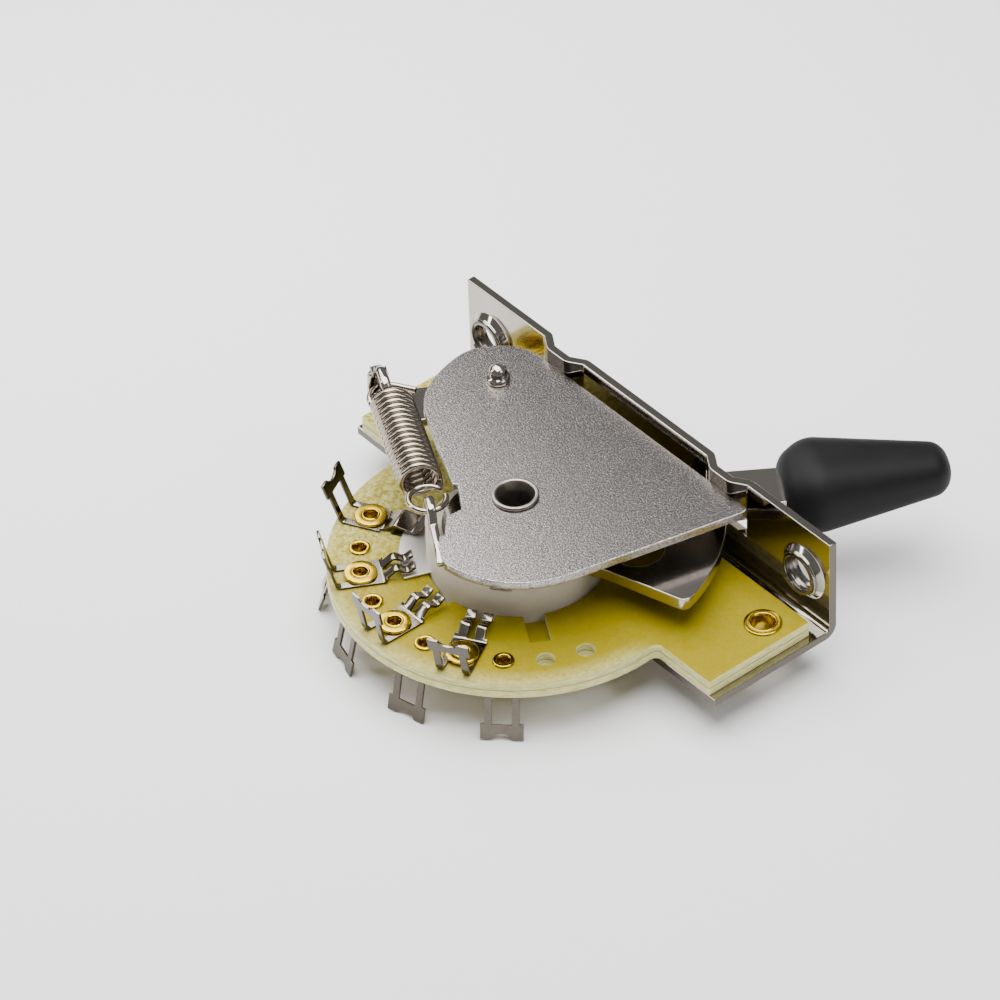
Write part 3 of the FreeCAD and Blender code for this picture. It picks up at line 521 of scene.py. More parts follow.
def smooth(mesh):
    """Smooth shading on every face."""
    for polygon in mesh.polygons:
        polygon.use_smooth = True


def settle(piece):
    """Turns the evaluated piece into a plain mesh and removes its modifiers."""
    bpy.context.view_layer.update()
    graph = bpy.context.evaluated_depsgraph_get()
    mesh = bpy.data.meshes.new_from_object(piece.evaluated_get(graph))
    mesh.name = piece.name
    piece.modifiers.clear()
    piece.data = mesh
    return piece


def hand_over(piece, body, slot_name, finish_name, *nodes):
    """Gives the piece its finish, its body, if it has just one, and the nodes it stands for."""
    material = finish(finish_name)
    piece.data.materials.clear()
    piece.data.materials.append(material)
    for polygon in piece.data.polygons:
        polygon.material_index = 0
    for node in nodes:
        for holder in frame["nodes"][node].material_slots:
            holder.material = material
    if body:
        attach(piece, body)
    if nodes:
        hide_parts(*nodes)
    return piece


def merge_flat(work):
    """Merges neighbouring faces that lie flat to one another."""
    nearly_flat = math.radians(0.4)
    bmesh.ops.dissolve_limit(work, angle_limit=nearly_flat, verts=work.verts, edges=work.edges)


def merged_copy(node, name):
    """Copy of a model node with its loose triangles merged into flat faces."""
    same_place = 0.000002
    work = bmesh.new()
    work.from_mesh(frame["nodes"][node].data)
    bmesh.ops.remove_doubles(work, verts=work.verts, dist=same_place)
    merge_flat(work)
    return built_piece(name, work)


def weigh_edges(mesh, angle, rounder_above, share_below):
    """Bevel weight of every sharp edge: full above a height, a share of it below."""
    work = bmesh.new()
    work.from_mesh(mesh)
    layer = work.edges.layers.float.new("bevel_weight_edge")
    for edge in work.edges:
        if len(edge.link_faces) == 2 and edge.calc_face_angle(0.0) > math.radians(angle):
            high = min(corner.co.z for corner in edge.verts) > rounder_above
            edge[layer] = 1.0 if high else share_below
    work.to_mesh(mesh)
    work.free()


def without_top(piece, height):
    """Cuts off what stands above a height and closes the flat top again at that height."""
    sliver, on_plane = 0.02 * MM, 0.0000001
    work = bmesh.new()
    work.from_mesh(piece.data)
    everything = list(work.verts) + list(work.edges) + list(work.faces)
    bmesh.ops.bisect_plane(work, geom=everything, plane_co=(0, 0, height - sliver), plane_no=(0, 0, 1),
                           dist=on_plane, clear_outer=True)
    rim = [edge for edge in work.edges if edge.is_boundary]
    for corner in {corner for edge in rim for corner in edge.verts}:
        corner.co.z = height
    bmesh.ops.triangle_fill(work, use_beauty=True, edges=rim, normal=(0, 0, 1))
    merge_flat(work)
    bmesh.ops.recalc_face_normals(work, faces=work.faces)
    work.to_mesh(piece.data)
    work.free()


def softened(node, name, body, slot_name, finish_name, width, segments=2, rounder=None, top=None):
    """Copy of a model node with its sharp edges rounded, as rolled and tumbled sheet has.

    rounder is a height and a width: edges above that height are rounded to that larger width.
    top is a height above which the copy is cut off, where a formed strip takes its place.
    """
    sharp_angle = 34.0
    piece = merged_copy(node, name)
    if top is not None:
        without_top(piece, top)
        smooth(piece.data)
    bevel = piece.modifiers.new("Soft edges", "BEVEL")
    bevel.width = width
    bevel.segments = segments
    bevel.limit_method = "ANGLE"
    bevel.angle_limit = math.radians(sharp_angle)
    if rounder:
        weigh_edges(piece.data, sharp_angle, rounder[0], width / rounder[1])
        bevel.width = rounder[1]
        bevel.limit_method = "WEIGHT"
    bevel.use_clamp_overlap = False
    bevel.miter_outer = "MITER_SHARP"
    weighted = piece.modifiers.new("Flat faces stay flat", "WEIGHTED_NORMAL")
    weighted.weight = 100
    weighted.keep_sharp = False
    settle(piece)
    low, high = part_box(node)
    for corner in piece.data.vertices:
        corner.co = [min(max(value, least), most) for value, least, most in zip(corner.co, low, high)]
    return hand_over(piece, body, slot_name, finish_name, node)


def level(turn):
    """Level unit vector at an angle."""
    return Vector((math.cos(turn), math.sin(turn), 0))


def heights(node):
    """Lowest and highest place of a model node, in millimetres."""
    low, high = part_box(node)
    return low.z / MM, high.z / MM


def rounded_corner(here, back, ahead, reach, steps):
    """Points of a corner rounded over a reach to both sides, or as far as the sides allow."""
    share_of_side = 0.48
    reach = min(reach, back.length * share_of_side, ahead.length * share_of_side)
    first, last = here + back.normalized() * reach, here + ahead.normalized() * reach
    points = []
    for step in range(steps + 1):
        share = step / steps
        points.append(first * (1 - share) ** 2 + here * 2 * share * (1 - share) + last * share ** 2)
    return points


def eased(points, radius, steps=4):
    """Closed outline with every corner rounded as far as its sides allow, but for those on the axis."""
    result = []
    for index, corner in enumerate(points):
        here = Vector(corner)
        if abs(here.x) < 1e-9:
            result.append((0.0, here.y))
            continue
        back, ahead = (Vector(points[beside % len(points)]) - here for beside in (index - 1, index + 1))
        result += [(max(spot.x, 0.0), spot.y) for spot in rounded_corner(here, back, ahead, radius, steps)]
    return result


def bent_path(points, radius, steps=6):
    """Open path in a plane with its corners bent to a radius, or as far as its sides allow."""
    result = [Vector(points[0])]
    for before, corner, after in zip(points, points[1:], points[2:]):
        here = Vector(corner)
        back, ahead = Vector(before) - here, Vector(after) - here
        half_turn = (math.pi - back.angle(ahead)) / 2
        result += rounded_corner(here, back, ahead, radius * math.tan(half_turn), steps)
    return result + [Vector(points[-1])]


def turned_piece(name, outline, centre, sides=80):
    """Ring or pin turned about a vertical line from a closed half outline in millimetres."""
    same_place, sharp_above = 0.0000005, math.radians(42)
    work = bmesh.new()
    rings = []
    for side in range(sides):
        turn = 2 * math.pi * side / sides
        rings.append([work.verts.new((
            centre.x + radius * MM * math.cos(turn), centre.y + radius * MM * math.sin(turn),
            height * MM)) for radius, height in outline])
    for here, beside in zip(rings, rings[1:] + rings[:1]):
        for index in range(len(outline)):
            following = (index + 1) % len(outline)
            if outline[index][0] == 0.0 and outline[following][0] == 0.0:
                continue
            work.faces.new((here[index], beside[index], beside[following], here[following]))
    bmesh.ops.remove_doubles(work, verts=work.verts, dist=same_place)
    bmesh.ops.recalc_face_normals(work, faces=work.faces)
    piece = built_piece(name, work)
    piece.data.set_sharp_from_angle(angle=sharp_above)
    return piece


def skin(work, rings):
    """Faces between rings of corners, one ring after the other; returns the two that close the ends."""
    for here, beyond in zip(rings, rings[1:]):
        for index in range(len(here)):
            following = (index + 1) % len(here)
            work.faces.new((here[index], here[following], beyond[following], beyond[index]))
    ends = [work.faces.new(rings[0]), work.faces.new(rings[-1])]
    bmesh.ops.recalc_face_normals(work, faces=work.faces)
    return ends


def formed_strip(name, path, width, thickness, rounding, drift):
    """Bent strip over the spring's line; its path runs along the spring and up.

    drift is how far it moves across for each unit that it runs along.
    """
    corner_steps, end_rounding = 4, thickness * 0.3
    section = []
    for quarter, (sideways, outwards) in enumerate(((1, 1), (-1, 1), (-1, -1), (1, -1))):
        corner = Vector((sideways * (width / 2 - rounding), outwards * (thickness / 2 - rounding)))
        for step in range(corner_steps + 1):
            turn = math.radians(90 * quarter + 90 * step / corner_steps)
            section.append(corner + Vector((math.cos(turn), math.sin(turn))) * rounding)
    origin = Vector((spring_start.x, spring_start.y, 0))
    work = bmesh.new()
    rings = []
    for index, place in enumerate(path):
        ahead = path[min(index + 1, len(path) - 1)] - path[max(index - 1, 0)]
        tangent = (along_spring * ahead.x + Vector((0, 0, ahead.y))).normalized()
        normal = tangent.cross(across_spring)
        spot = (origin + along_spring * place.x + Vector((0, 0, place.y))
                + across_spring * drift * (place.x - path[0].x))
        rings.append([work.verts.new(spot + across_spring * point.x + normal * point.y) for point in section])
    rim = [edge for end in skin(work, rings) for edge in end.edges]
    bmesh.ops.bevel(work, geom=rim, offset=end_rounding, segments=3, profile=0.5, affect="EDGES")
    return built_piece(name, work)


def point_cloud(name, points, turns):
    """Loose points, each with the turn about X that stands its instance up."""
    mesh = bpy.data.meshes.new(name)
    mesh.from_pydata([tuple(point) for point in points], [], [])
    turning = mesh.attributes.new("stand_turn", "FLOAT", "POINT")
    turning.data.foreach_set("value", turns)
    return new_piece(name, mesh)


# Geometry node trees


def geometry_tree(name, inputs):
    """Geometry node tree with a geometry in and out, and named inputs."""
    tree = bpy.data.node_groups.new(name, "GeometryNodeTree")
    tree.interface.new_socket(name="Geometry", in_out="INPUT", socket_type="NodeSocketGeometry")
    for label, default in inputs.items():
        kind = "NodeSocketInt" if isinstance(default, int) else "NodeSocketFloat"
        socket = tree.interface.new_socket(name=label, in_out="INPUT", socket_type=kind)
        socket.default_value = default
    tree.interface.new_socket(name="Finish", in_out="INPUT", socket_type="NodeSocketMaterial")
    tree.interface.new_socket(name="Geometry", in_out="OUTPUT", socket_type="NodeSocketGeometry")
    return tree, tree.nodes.new("NodeGroupInput").outputs


def run_tree(piece, tree, values):
    """Runs a tree on a piece with its inputs set, and keeps the result as a plain mesh."""
    modifier = piece.modifiers.new(tree.name, "NODES")
    modifier.node_group = tree
    for item in tree.interface.items_tree:
        if item.item_type == "SOCKET" and item.in_out == "INPUT" and item.name in values:
            modifier[item.identifier] = values[item.name]
    return settle(piece)


def close_tree(tree, given, geometry, smoothed=True):
    """Ends a tree in smooth or flat shading, realised instances and its finish."""
    smooth = add_node(tree, "GeometryNodeSetShadeSmooth", {"Geometry": geometry, "Shade Smooth": smoothed})
    real = add_node(tree, "GeometryNodeRealizeInstances", {"Geometry": smooth.outputs["Geometry"]})
    paint = add_node(tree, "GeometryNodeSetMaterial", {
        "Geometry": real.outputs["Geometry"], "Material": given["Finish"]})
    tree.links.new(paint.outputs["Geometry"], tree.nodes.new("NodeGroupOutput").inputs["Geometry"])
    return tree


def swept(tree, path, section, closed=True):
    """Mesh of a section swept along a path, with its ends closed or open."""
    return add_node(tree, "GeometryNodeCurveToMesh", {
        "Curve": path.outputs["Curve"], "Profile Curve": section.outputs["Curve"],
        "Fill Caps": closed}).outputs["Mesh"]


def stood_on_points(tree, points, instance):
    """Instances on points, each turned about X by its point's stand_turn."""
    turn = add_node(tree, "GeometryNodeInputNamedAttribute", {"Name": "stand_turn"}, data_type="FLOAT")
    angles = add_node(tree, "ShaderNodeCombineXYZ", {"X": turn.outputs["Attribute"]})
    return add_node(tree, "GeometryNodeInstanceOnPoints", {
        "Points": points, "Instance": instance, "Rotation": angles.outputs[0]}).outputs["Instances"]


def swept_ring(tree, radius, width, height, soft, lift, sides):
    """Ring of rounded rectangular section: radius to its middle, width across, height along Z."""
    path = add_node(tree, "GeometryNodeCurvePrimitiveCircle", {"Resolution": sides, "Radius": radius})
    section = add_node(tree, "GeometryNodeCurvePrimitiveQuadrilateral", {"Width": width, "Height": height})
    fillet = add_node(tree, "GeometryNodeFilletCurve", {
        "Curve": section.outputs["Curve"], "Count": 4, "Limit Radius": True, "Radius": soft}, mode="POLY")
    offset = add_node(tree, "ShaderNodeCombineXYZ", {"Z": lift})
    ring = swept(tree, path, fillet, closed=False)
    return add_node(tree, "GeometryNodeTransform", {
        "Geometry": ring, "Translation": offset.outputs[0]}).outputs["Geometry"]


def eyelet_tree():
    """Rolled eyelets on points: a rounded head with its lip, a thin shank and a smaller rolled end."""
    tree, given = geometry_tree("Rolled eyelets", {
        "Head Radius": 0.00145, "Bore Radius": 0.000575, "Head Height": 0.00034, "Shank Radius": 0.0008,
        "Shank Depth": 0.00185, "Flare Radius": 0.00095, "Flare Height": 0.00022, "Rolling": 0.00013,
        "Lip Width": 0.00024})
    bore, rolling = given["Bore Radius"], given["Rolling"]

    def times(value, factor):
        return math_node(tree, "MULTIPLY", value, factor)

    def bored_ring(outer, height, soft, lift, sides):
        middle = times(math_node(tree, "ADD", given[outer], bore), 0.5)
        width = math_node(tree, "SUBTRACT", given[outer], bore)
        return swept_ring(tree, middle, width, given[height], soft, lift, sides)

    flare_lift = math_node(tree, "SUBTRACT", times(given["Flare Height"], -0.5), given["Shank Depth"])
    lip_middle = math_node(tree, "ADD", bore, times(given["Lip Width"], 0.5))
    shank_middle = times(given["Shank Depth"], -0.5)
    rings = (
        bored_ring("Head Radius", "Head Height", rolling, times(given["Head Height"], 0.5), 56),
        bored_ring("Flare Radius", "Flare Height", rolling, flare_lift, 56),
        swept_ring(tree, lip_middle, given["Lip Width"], given["Head Height"],
                   times(given["Lip Width"], 0.45), times(given["Head Height"], 0.72), 48),
        bored_ring("Shank Radius", "Shank Depth", times(rolling, 0.05), shank_middle, 40))
    join = tree.nodes.new("GeometryNodeJoinGeometry")
    for ring in rings:
        tree.links.new(ring, join.inputs["Geometry"])
    return close_tree(tree, given, stood_on_points(tree, given["Geometry"], join.outputs["Geometry"]))


def thread_tree():
    """Helical ridges of a screw thread, one set standing on each point along its turned axis."""
    tree, given = geometry_tree("Screw thread", {
        "Root Radius": 0.00175, "Ridge": 0.00026, "Turns": 1.6, "Pitch": 0.00062})
    spiral = add_node(tree, "GeometryNodeCurveSpiral", {
        "Resolution": 72, "Rotations": given["Turns"], "Start Radius": given["Root Radius"],
        "End Radius": given["Root Radius"],
        "Height": math_node(tree, "MULTIPLY", given["Turns"], given["Pitch"])})
    section = add_node(tree, "GeometryNodeCurvePrimitiveCircle", {"Resolution": 4, "Radius": given["Ridge"]})
    ridges = swept(tree, spiral, section)
    return close_tree(tree, given, stood_on_points(tree, given["Geometry"], ridges), smoothed=False)


def wire_tree():
    """Round wire swept along a path of joined points."""
    tree, given = geometry_tree("Round wire", {"Wire Radius": 0.00035, "Sides": 14})
    path = add_node(tree, "GeometryNodeMeshToCurve", {"Mesh": given["Geometry"]})
    section = add_node(tree, "GeometryNodeCurvePrimitiveCircle", {
        "Resolution": given["Sides"], "Radius": given["Wire Radius"]})
    return close_tree(tree, given, swept(tree, path, section))


# Operators, one for each piece or group of like pieces


class LEVERSWITCH_OT_bracket(bpy.types.Operator):
    """Folded bracket with its dips, collars and lever slot"""

    bl_idname = "leverswitch.bracket"
    bl_label = "Bracket"

    def execute(self, context):
        edge = context.scene.stamping_settings.edge
        softened("frame", "bracket", "frame_body", "bright_nickel", "Bright nickel", edge, 3)
        return {"FINISHED"}


class LEVERSWITCH_OT_threads(bpy.types.Operator):
    """Screw thread inside the two collars"""

    bl_idname = "leverswitch.threads"
    bl_label = "Collar threads"

    def execute(self, context):
        settings = context.scene.thread_settings
        half, start, ridge, turns = settings.spacing / 2, -0.28 * MM, 0.17 * MM, 3.4
        threads = point_cloud(
            "collar_threads", [(side * half, start, 0) for side in (1, -1)], [math.pi / 2] * 2)
        run_tree(threads, thread_tree(), {
            "Root Radius": settings.bore_radius, "Ridge": ridge, "Turns": turns, "Pitch": settings.pitch,
            "Finish": finish("Thread with painted shade")})
        hand_over(threads, "frame_body", "bright_nickel", "Thread with painted shade")
        return {"FINISHED"}


class LEVERSWITCH_OT_cover_plate(bpy.types.Operator):
    """Top plate with its staked tabs and the fixed spring hook"""

    bl_idname = "leverswitch.cover_plate"
    bl_label = "Cover plate"

    def execute(self, context):
        edge = context.scene.stamping_settings.edge
        softened("top_plate", "cover_plate", "frame_body", "plated_steel", "Pebbled nickel", edge, 3,
                 top=plate_top)
        # Places along the spring and heights, in millimetres, from the end inside the spring's ring
        bends = ((0.42, 3.0), (0.75, 4.5), (2.2, 4.5), (2.8, 3.15), (5.2, 3.1), (7.3, 2.55))
        bend_radius, width, thickness, rounding = 0.5 * MM, 0.8 * MM, 0.62 * MM, 0.25 * MM
        path = bent_path([(ring_middle + ahead * MM, height * MM) for ahead, height in bends], bend_radius)
        hook = formed_strip("plate_hook", path, width, thickness, rounding, drift=-0.08)
        hand_over(hook, "frame_body", "plated_steel", "Polished steel")
        return {"FINISHED"}


class LEVERSWITCH_OT_wafer(bpy.types.Operator):
    """Two laminate boards of the wafer"""

    bl_idname = "leverswitch.wafer"
    bl_label = "Wafer boards"

    def execute(self, context):
        edge = context.scene.wafer_settings.edge
        for side in ("lower", "upper"):
            softened(side + "_board", "wafer_" + side, "frame_body", "fibre_board", "Glass laminate", edge)
        spare_angle, spare_circle = math.radians(-165), 13.6 * MM
        radius, depth, sunk, rounding = 0.805, 0.3, 0.06, 0.05
        top = heights("upper_board")[1] - sunk
        disc = eased([(0.0, top - depth), (radius, top - depth), (radius, top), (0.0, top)], rounding, 2)
        plug = turned_piece("blind_hole_floor", disc, pivot + level(spare_angle) * spare_circle, 48)
        hand_over(plug, "frame_body", "fibre_board", "Glass laminate")
        return {"FINISHED"}


class LEVERSWITCH_OT_clips(bpy.types.Operator):
    """Eight contact clips with their solder lugs"""

    bl_idname = "leverswitch.clips"
    bl_label = "Contact clips"

    def execute(self, context):
        edge = context.scene.stamping_settings.thin_edge
        for side in ("top", "bottom"):
            for number in range(1, 5):
                softened("%s_clip_%d" % (side, number), "lug_%s_%d" % (side, number), "frame_body",
                         "tinned_contact", "Tinned strip", edge)
        return {"FINISHED"}


class LEVERSWITCH_OT_eyelets(bpy.types.Operator):
    """Brass eyelets: eight at the terminals and two large ones that clamp the boards"""

    bl_idname = "leverswitch.eyelets"
    bl_label = "Brass eyelets"

    def execute(self, context):
        settings = context.scene.eyelet_settings
        tree = eyelet_tree()
        places, turns, nodes = [], [], []
        for side, turn in (("top", 0.0), ("bottom", math.pi)):
            for number in range(1, 5):
                node = "%s_eyelet_%d" % (side, number)
                low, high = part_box(node)
                middle = (low + high) / 2
                seat = high.z - settings.head_height if side == "top" else low.z + settings.head_height
                places.append((middle.x, middle.y, seat))
                turns.append(turn)
                nodes.append(node)
        low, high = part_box("top_eyelet_1")
        flare_height = 0.22 * MM
        terminals = point_cloud("terminal_eyelets", places, turns)
        run_tree(terminals, tree, {
            "Head Radius": settings.head_radius, "Bore Radius": settings.bore_radius,
            "Head Height": settings.head_height * 0.82, "Shank Radius": 0.8 * MM,
            "Shank Depth": high.z - low.z - settings.head_height - flare_height,
            "Flare Radius": settings.flare_radius, "Flare Height": flare_height, "Rolling": 0.11 * MM,
            "Lip Width": 0.26 * MM, "Finish": finish("Rolled brass")})
        hand_over(terminals, "frame_body", "brass", "Rolled brass", *nodes)
        places, nodes = [], ["frame_eyelet_left", "frame_eyelet_right"]
        rim, outer = 0.18 * MM, 1.65 * MM
        for node in nodes:
            low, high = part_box(node)
            places.append(((low.x + high.x) / 2, (low.y + high.y) / 2, high.z - rim))
        clamps = point_cloud("clamp_eyelets", places, [0.0, 0.0])
        run_tree(clamps, tree, {
            "Head Radius": outer, "Bore Radius": 1.05 * MM, "Head Height": rim, "Shank Radius": 1.3 * MM,
            "Shank Depth": high.z - low.z - 2 * rim, "Flare Radius": outer, "Flare Height": rim,
            "Rolling": 0.09 * MM, "Lip Width": 0.2 * MM, "Finish": finish("Rolled brass")})
        hand_over(clamps, "frame_body", "brass", "Rolled brass", *nodes)
        return {"FINISHED"}


class LEVERSWITCH_OT_pivot(bpy.types.Operator):
    """Hollow pivot rivet with rolled rims, and its washer"""

    bl_idname = "leverswitch.pivot"
    bl_label = "Pivot rivet"

    def execute(self, context):
        base, top = heights("pivot_eyelet")
        rim, bore, flared, rim_height, outer = 2.05, 1.42, 1.68, 0.35, 1.7
        outline = eased([
            (bore, base), (rim, base), (rim, base + rim_height), (outer, base + rim_height),
            (outer, top - rim_height), (rim, top - rim_height), (rim, top), (flared, top), (bore, top - 1.0)],
            0.16, 6)
        hand_over(turned_piece("pivot_rivet", outline, pivot, 96), "frame_body", "plated_steel",
                  "Rolled tube", "pivot_eyelet")
        low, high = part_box("pivot_washer")
        base, top = heights("pivot_washer")
        inner, outer = 1.7, (high.x - low.x) / 2 / MM
        ring = eased([(inner, base), (outer, base), (outer, top), (inner, top)], 0.08)
        hand_over(turned_piece("lever_washer", ring, pivot), "frame_body", "plated_steel",
                  "Polished steel", "pivot_washer")
        return {"FINISHED"}


class LEVERSWITCH_OT_index_stud(bpy.types.Operator):
    """Shouldered rivet of the index arm, with its ring and domed stud"""

    bl_idname = "leverswitch.index_stud"
    bl_label = "Index stud"

    def execute(self, context):
        base, top = heights("index_pin")
        pin, shoulder, head, ring, dome = 0.85, 1.2, 1.55, 1.05, 0.82
        stud_height, plate_thickness = 1.6, 0.8
        plate = top - stud_height
        under = plate - plate_thickness
        outline = [
            (0.0, base), (head - 0.12, base), (head, base + 0.12), (head, base + 0.48),
            (head - 0.06, base + 0.54), (shoulder, base + 0.54), (shoulder, base + 1.46),
            (head, base + 1.46), (head, under), (pin, under), (pin, plate), (ring - 0.04, plate),
            (ring, plate + 0.06), (ring, plate + 0.3), (ring - 0.07, plate + 0.42),
            (pin + 0.02, plate + 0.5), (pin - 0.05, plate + 0.56), (pin - 0.05, plate + 0.62),
            (pin, plate + 0.68)]
        dome_steps = 9
        for step in range(1, dome_steps + 1):
            turn = math.radians(90 * step / dome_steps)
            radius = pin * math.cos(turn) if step < dome_steps else 0.0
            outline.append((radius, top - dome * (1 - math.sin(turn))))
        hand_over(turned_piece("index_stud", outline, index_pivot, 64), "frame_body", "plated_steel",
                  "Polished steel", "index_pin")
        return {"FINISHED"}


class LEVERSWITCH_OT_lever(bpy.types.Operator):
    """Notched lever stamping"""

    bl_idname = "leverswitch.lever"
    bl_label = "Lever"

    def execute(self, context):
        edge = context.scene.stamping_settings.edge
        softened("lever", "lever_stamping", "lever_body", "plated_steel", "Lever steel", edge, 3)
        return {"FINISHED"}


class LEVERSWITCH_OT_rotor(bpy.types.Operator):
    """Moulded rotor and its two contact blades"""

    bl_idname = "leverswitch.rotor"
    bl_label = "Rotor"

    def execute(self, context):
        softened("rotor", "rotor_moulding", "lever_body", "nylon", "Off-white nylon", 0.1 * MM)
        edge = context.scene.stamping_settings.thin_edge
        for side in ("upper", "lower"):
            softened(side + "_rotor_blade", side + "_blade", "lever_body", "tinned_contact",
                     "Silvered blade", edge)
        return {"FINISHED"}


class LEVERSWITCH_OT_knob(bpy.types.Operator):
    """Tapered push-on knob with a sloping shoulder"""

    bl_idname = "leverswitch.knob"
    bl_label = "Knob"

    def execute(self, context):
        settings = context.scene.knob_settings
        start, end = settings.start / MM, settings.end / MM
        ridge = start + settings.shoulder / MM
        neck_round, tip_round = 0.9, 1.5
        neck_steps, body_steps, tip_steps = 6, 36, 12
        stations = []
        for step in range(neck_steps):
            stations.append(start + neck_round * (1 - math.cos(math.radians(90 * step / neck_steps))))
        body_length = end - tip_round - start - neck_round
        for step in range(body_steps + 1):
            stations.append(start + neck_round + body_length * step / body_steps)
        for step in range(1, tip_steps + 1):
            stations.append(end - tip_round * (1 - math.sin(math.radians(90 * step / tip_steps))))
        sides, squareness = 80, 2.55
        direction = level(lever_heading)
        across = Vector((-direction.y, direction.x, 0))

        def rounded(wave, half):
            return math.copysign(abs(wave) ** (2 / squareness), wave) * half

        work = bmesh.new()
        rings = []
        for distance in stations:
            half_width, half_height = knob_section(distance, start, ridge, end, neck_round, tip_round)
            ring = []
            for side in range(sides):
                turn = 2 * math.pi * side / sides
                y, z = rounded(math.cos(turn), half_width), rounded(math.sin(turn), half_height)
                ring.append(work.verts.new(
                    pivot + direction * distance * MM + across * y * MM + Vector((0, 0, z * MM))))
            rings.append(ring)
        skin(work, rings)
        knob = built_piece("push_on_knob", work)
        for flat_end in knob.data.polygons[-2:]:
            flat_end.use_smooth = False
        hand_over(knob, "lever_body", "black_knob", "Black moulding", "knob")
        return {"FINISHED"}


def knob_section(distance, start, ridge, end, neck_round, tip_round):
    """Half width and half height of the knob at a distance from the pivot, in millimetres."""
    neck_size, ridge_size, tip_size, blend = (2.75, 2.2), (4.38, 3.66), (2.15, 1.85), 1.15

    def straight(place):
        near, far = (neck_size, ridge_size) if place < ridge else (ridge_size, tip_size)
        first, last = (start, ridge) if place < ridge else (ridge, end)
        share = (place - first) / (last - first)
        return [a + (b - a) * share for a, b in zip(near, far)]

    def inset_at(depth, rounding):
        return rounding - math.sqrt(max(rounding ** 2 - (rounding - depth) ** 2, 0.0))

    sizes = straight(distance)
    if abs(distance - ridge) < blend:
        share = (distance - ridge + blend) / (2 * blend)
        before, after = straight(ridge - blend), straight(ridge + blend)
        sizes = [a * (1 - share) ** 2 + b * 2 * share * (1 - share) + c * share ** 2
                 for a, b, c in zip(before, ridge_size, after)]
    inset = 0.0
    if distance - start < neck_round:
        inset = inset_at(distance - start, neck_round)
    if end - distance < tip_round:
        inset = inset_at(end - distance, tip_round)
    return [size - inset for size in sizes]


class LEVERSWITCH_OT_index_arm(bpy.types.Operator):
    """Sprung index arm with its hook, roller pin and roller"""

    bl_idname = "leverswitch.index_arm"
    bl_label = "Index arm and roller"

    def execute(self, context):
        edge = context.scene.stamping_settings.edge
        softened("index_arm", "sprung_arm", "arm_body", "plated_steel", "Polished steel", edge * 0.6, 4,
                 rounder=(2.6 * MM, 0.33 * MM))
        base, top = heights("roller_pin")
        pin, head = 0.6, 1.0
        outline = [
            (0.0, base), (head - 0.06, base), (head, base + 0.06), (head, base + 0.2), (pin, base + 0.2),
            (pin, top - 0.3), (head, top - 0.3), (head, top - 0.2), (head - 0.12, top - 0.06),
            (head - 0.35, top), (0.0, top)]
        hand_over(turned_piece("roller_rivet", outline, roller_axis, 48), "arm_body", "plated_steel",
                  "Polished steel", "roller_pin")
        base, top = heights("index_roller")
        bore, outer = 0.64, 1.5
        outline = eased([(bore, base), (outer, base), (outer, top), (bore, top)], 0.16)
        hand_over(turned_piece("notch_roller", outline, roller_axis, 64), "roller_body", "plated_steel",
                  "Polished steel", "index_roller")
        return {"FINISHED"}


class LEVERSWITCH_OT_spring(bpy.types.Operator):
    """Close-wound extension spring with its two end rings"""

    bl_idname = "leverswitch.spring"
    bl_label = "Index spring"

    def execute(self, context):
        settings = context.scene.spring_settings
        radius, wire = settings.coil_radius, settings.wire_radius

        def spot(forward, sideways, height):
            return spring_start + along_spring * forward + across_spring * sideways + Vector((0, 0, height))

        hook_radius, hook_drop, tail = 1.65 * MM, -0.35 * MM, 1.9 * MM
        leave, join = math.radians(146), math.radians(262)
        tail_steps, hook_steps, turn_steps, ring_steps, joining_steps = 4, 21, 32, 40, 8
        points = []
        for step in range(tail_steps):
            place = level(leave) * hook_radius + level(leave - math.pi / 2) * tail * (1 - step / tail_steps)
            points.append(spot(place.x, place.y, hook_drop))
        for step in range(hook_steps + 1):
            turn = leave + (join - leave) * step / hook_steps
            points.append(spot(hook_radius * math.cos(turn), hook_radius * math.sin(turn), hook_drop))
        first_turn, total = math.radians(145), (settings.turns + 0.5) * 2 * math.pi + math.radians(35)
        steps = settings.turns * turn_steps
        coil = []
        for step in range(steps + 1):
            turn = first_turn + total * step / steps
            forward = settings.coil_start + settings.coil_length * step / steps
            coil.append(spot(forward, radius * math.cos(turn), -radius * math.sin(turn)))
        ring_radius, gap, sweep = 1.62 * MM, math.radians(137), math.radians(312)
        ring = []
        for step in range(ring_steps + 1):
            turn = gap + sweep * step / ring_steps
            ring.append(spot(ring_middle + ring_radius * math.cos(turn), ring_radius * math.sin(turn), 0.0))
        for stretch in (coil, ring):
            points += blended(points[-1], points[-1] - points[-2], stretch[0], stretch[1] - stretch[0],
                              joining_steps)
            points += stretch
        mesh = bpy.data.meshes.new("index_spring_wire")
        mesh.from_pydata([tuple(point) for point in points], [(i, i + 1) for i in range(len(points) - 1)], [])
        spring = new_piece("wound_spring", mesh)
        run_tree(spring, wire_tree(), {"Wire Radius": wire, "Sides": 14, "Finish": finish("Drawn wire")})
        hand_over(spring, None, "spring_wire", "Drawn wire", "index_spring")
        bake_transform(spring)
        return {"FINISHED"}


def blended(start, start_step, end, end_step, count):
    """Points between two ends that leave and arrive along their own directions."""
    gap, pull = (end - start).length, 0.4
    first = start + start_step.normalized() * gap * pull
    last = end - end_step.normalized() * gap * pull
    points = []
    for step in range(1, count):
        share = step / count
        points.append(start * (1 - share) ** 3 + first * 3 * share * (1 - share) ** 2
                      + last * 3 * share ** 2 * (1 - share) + end * share ** 3)
    return points


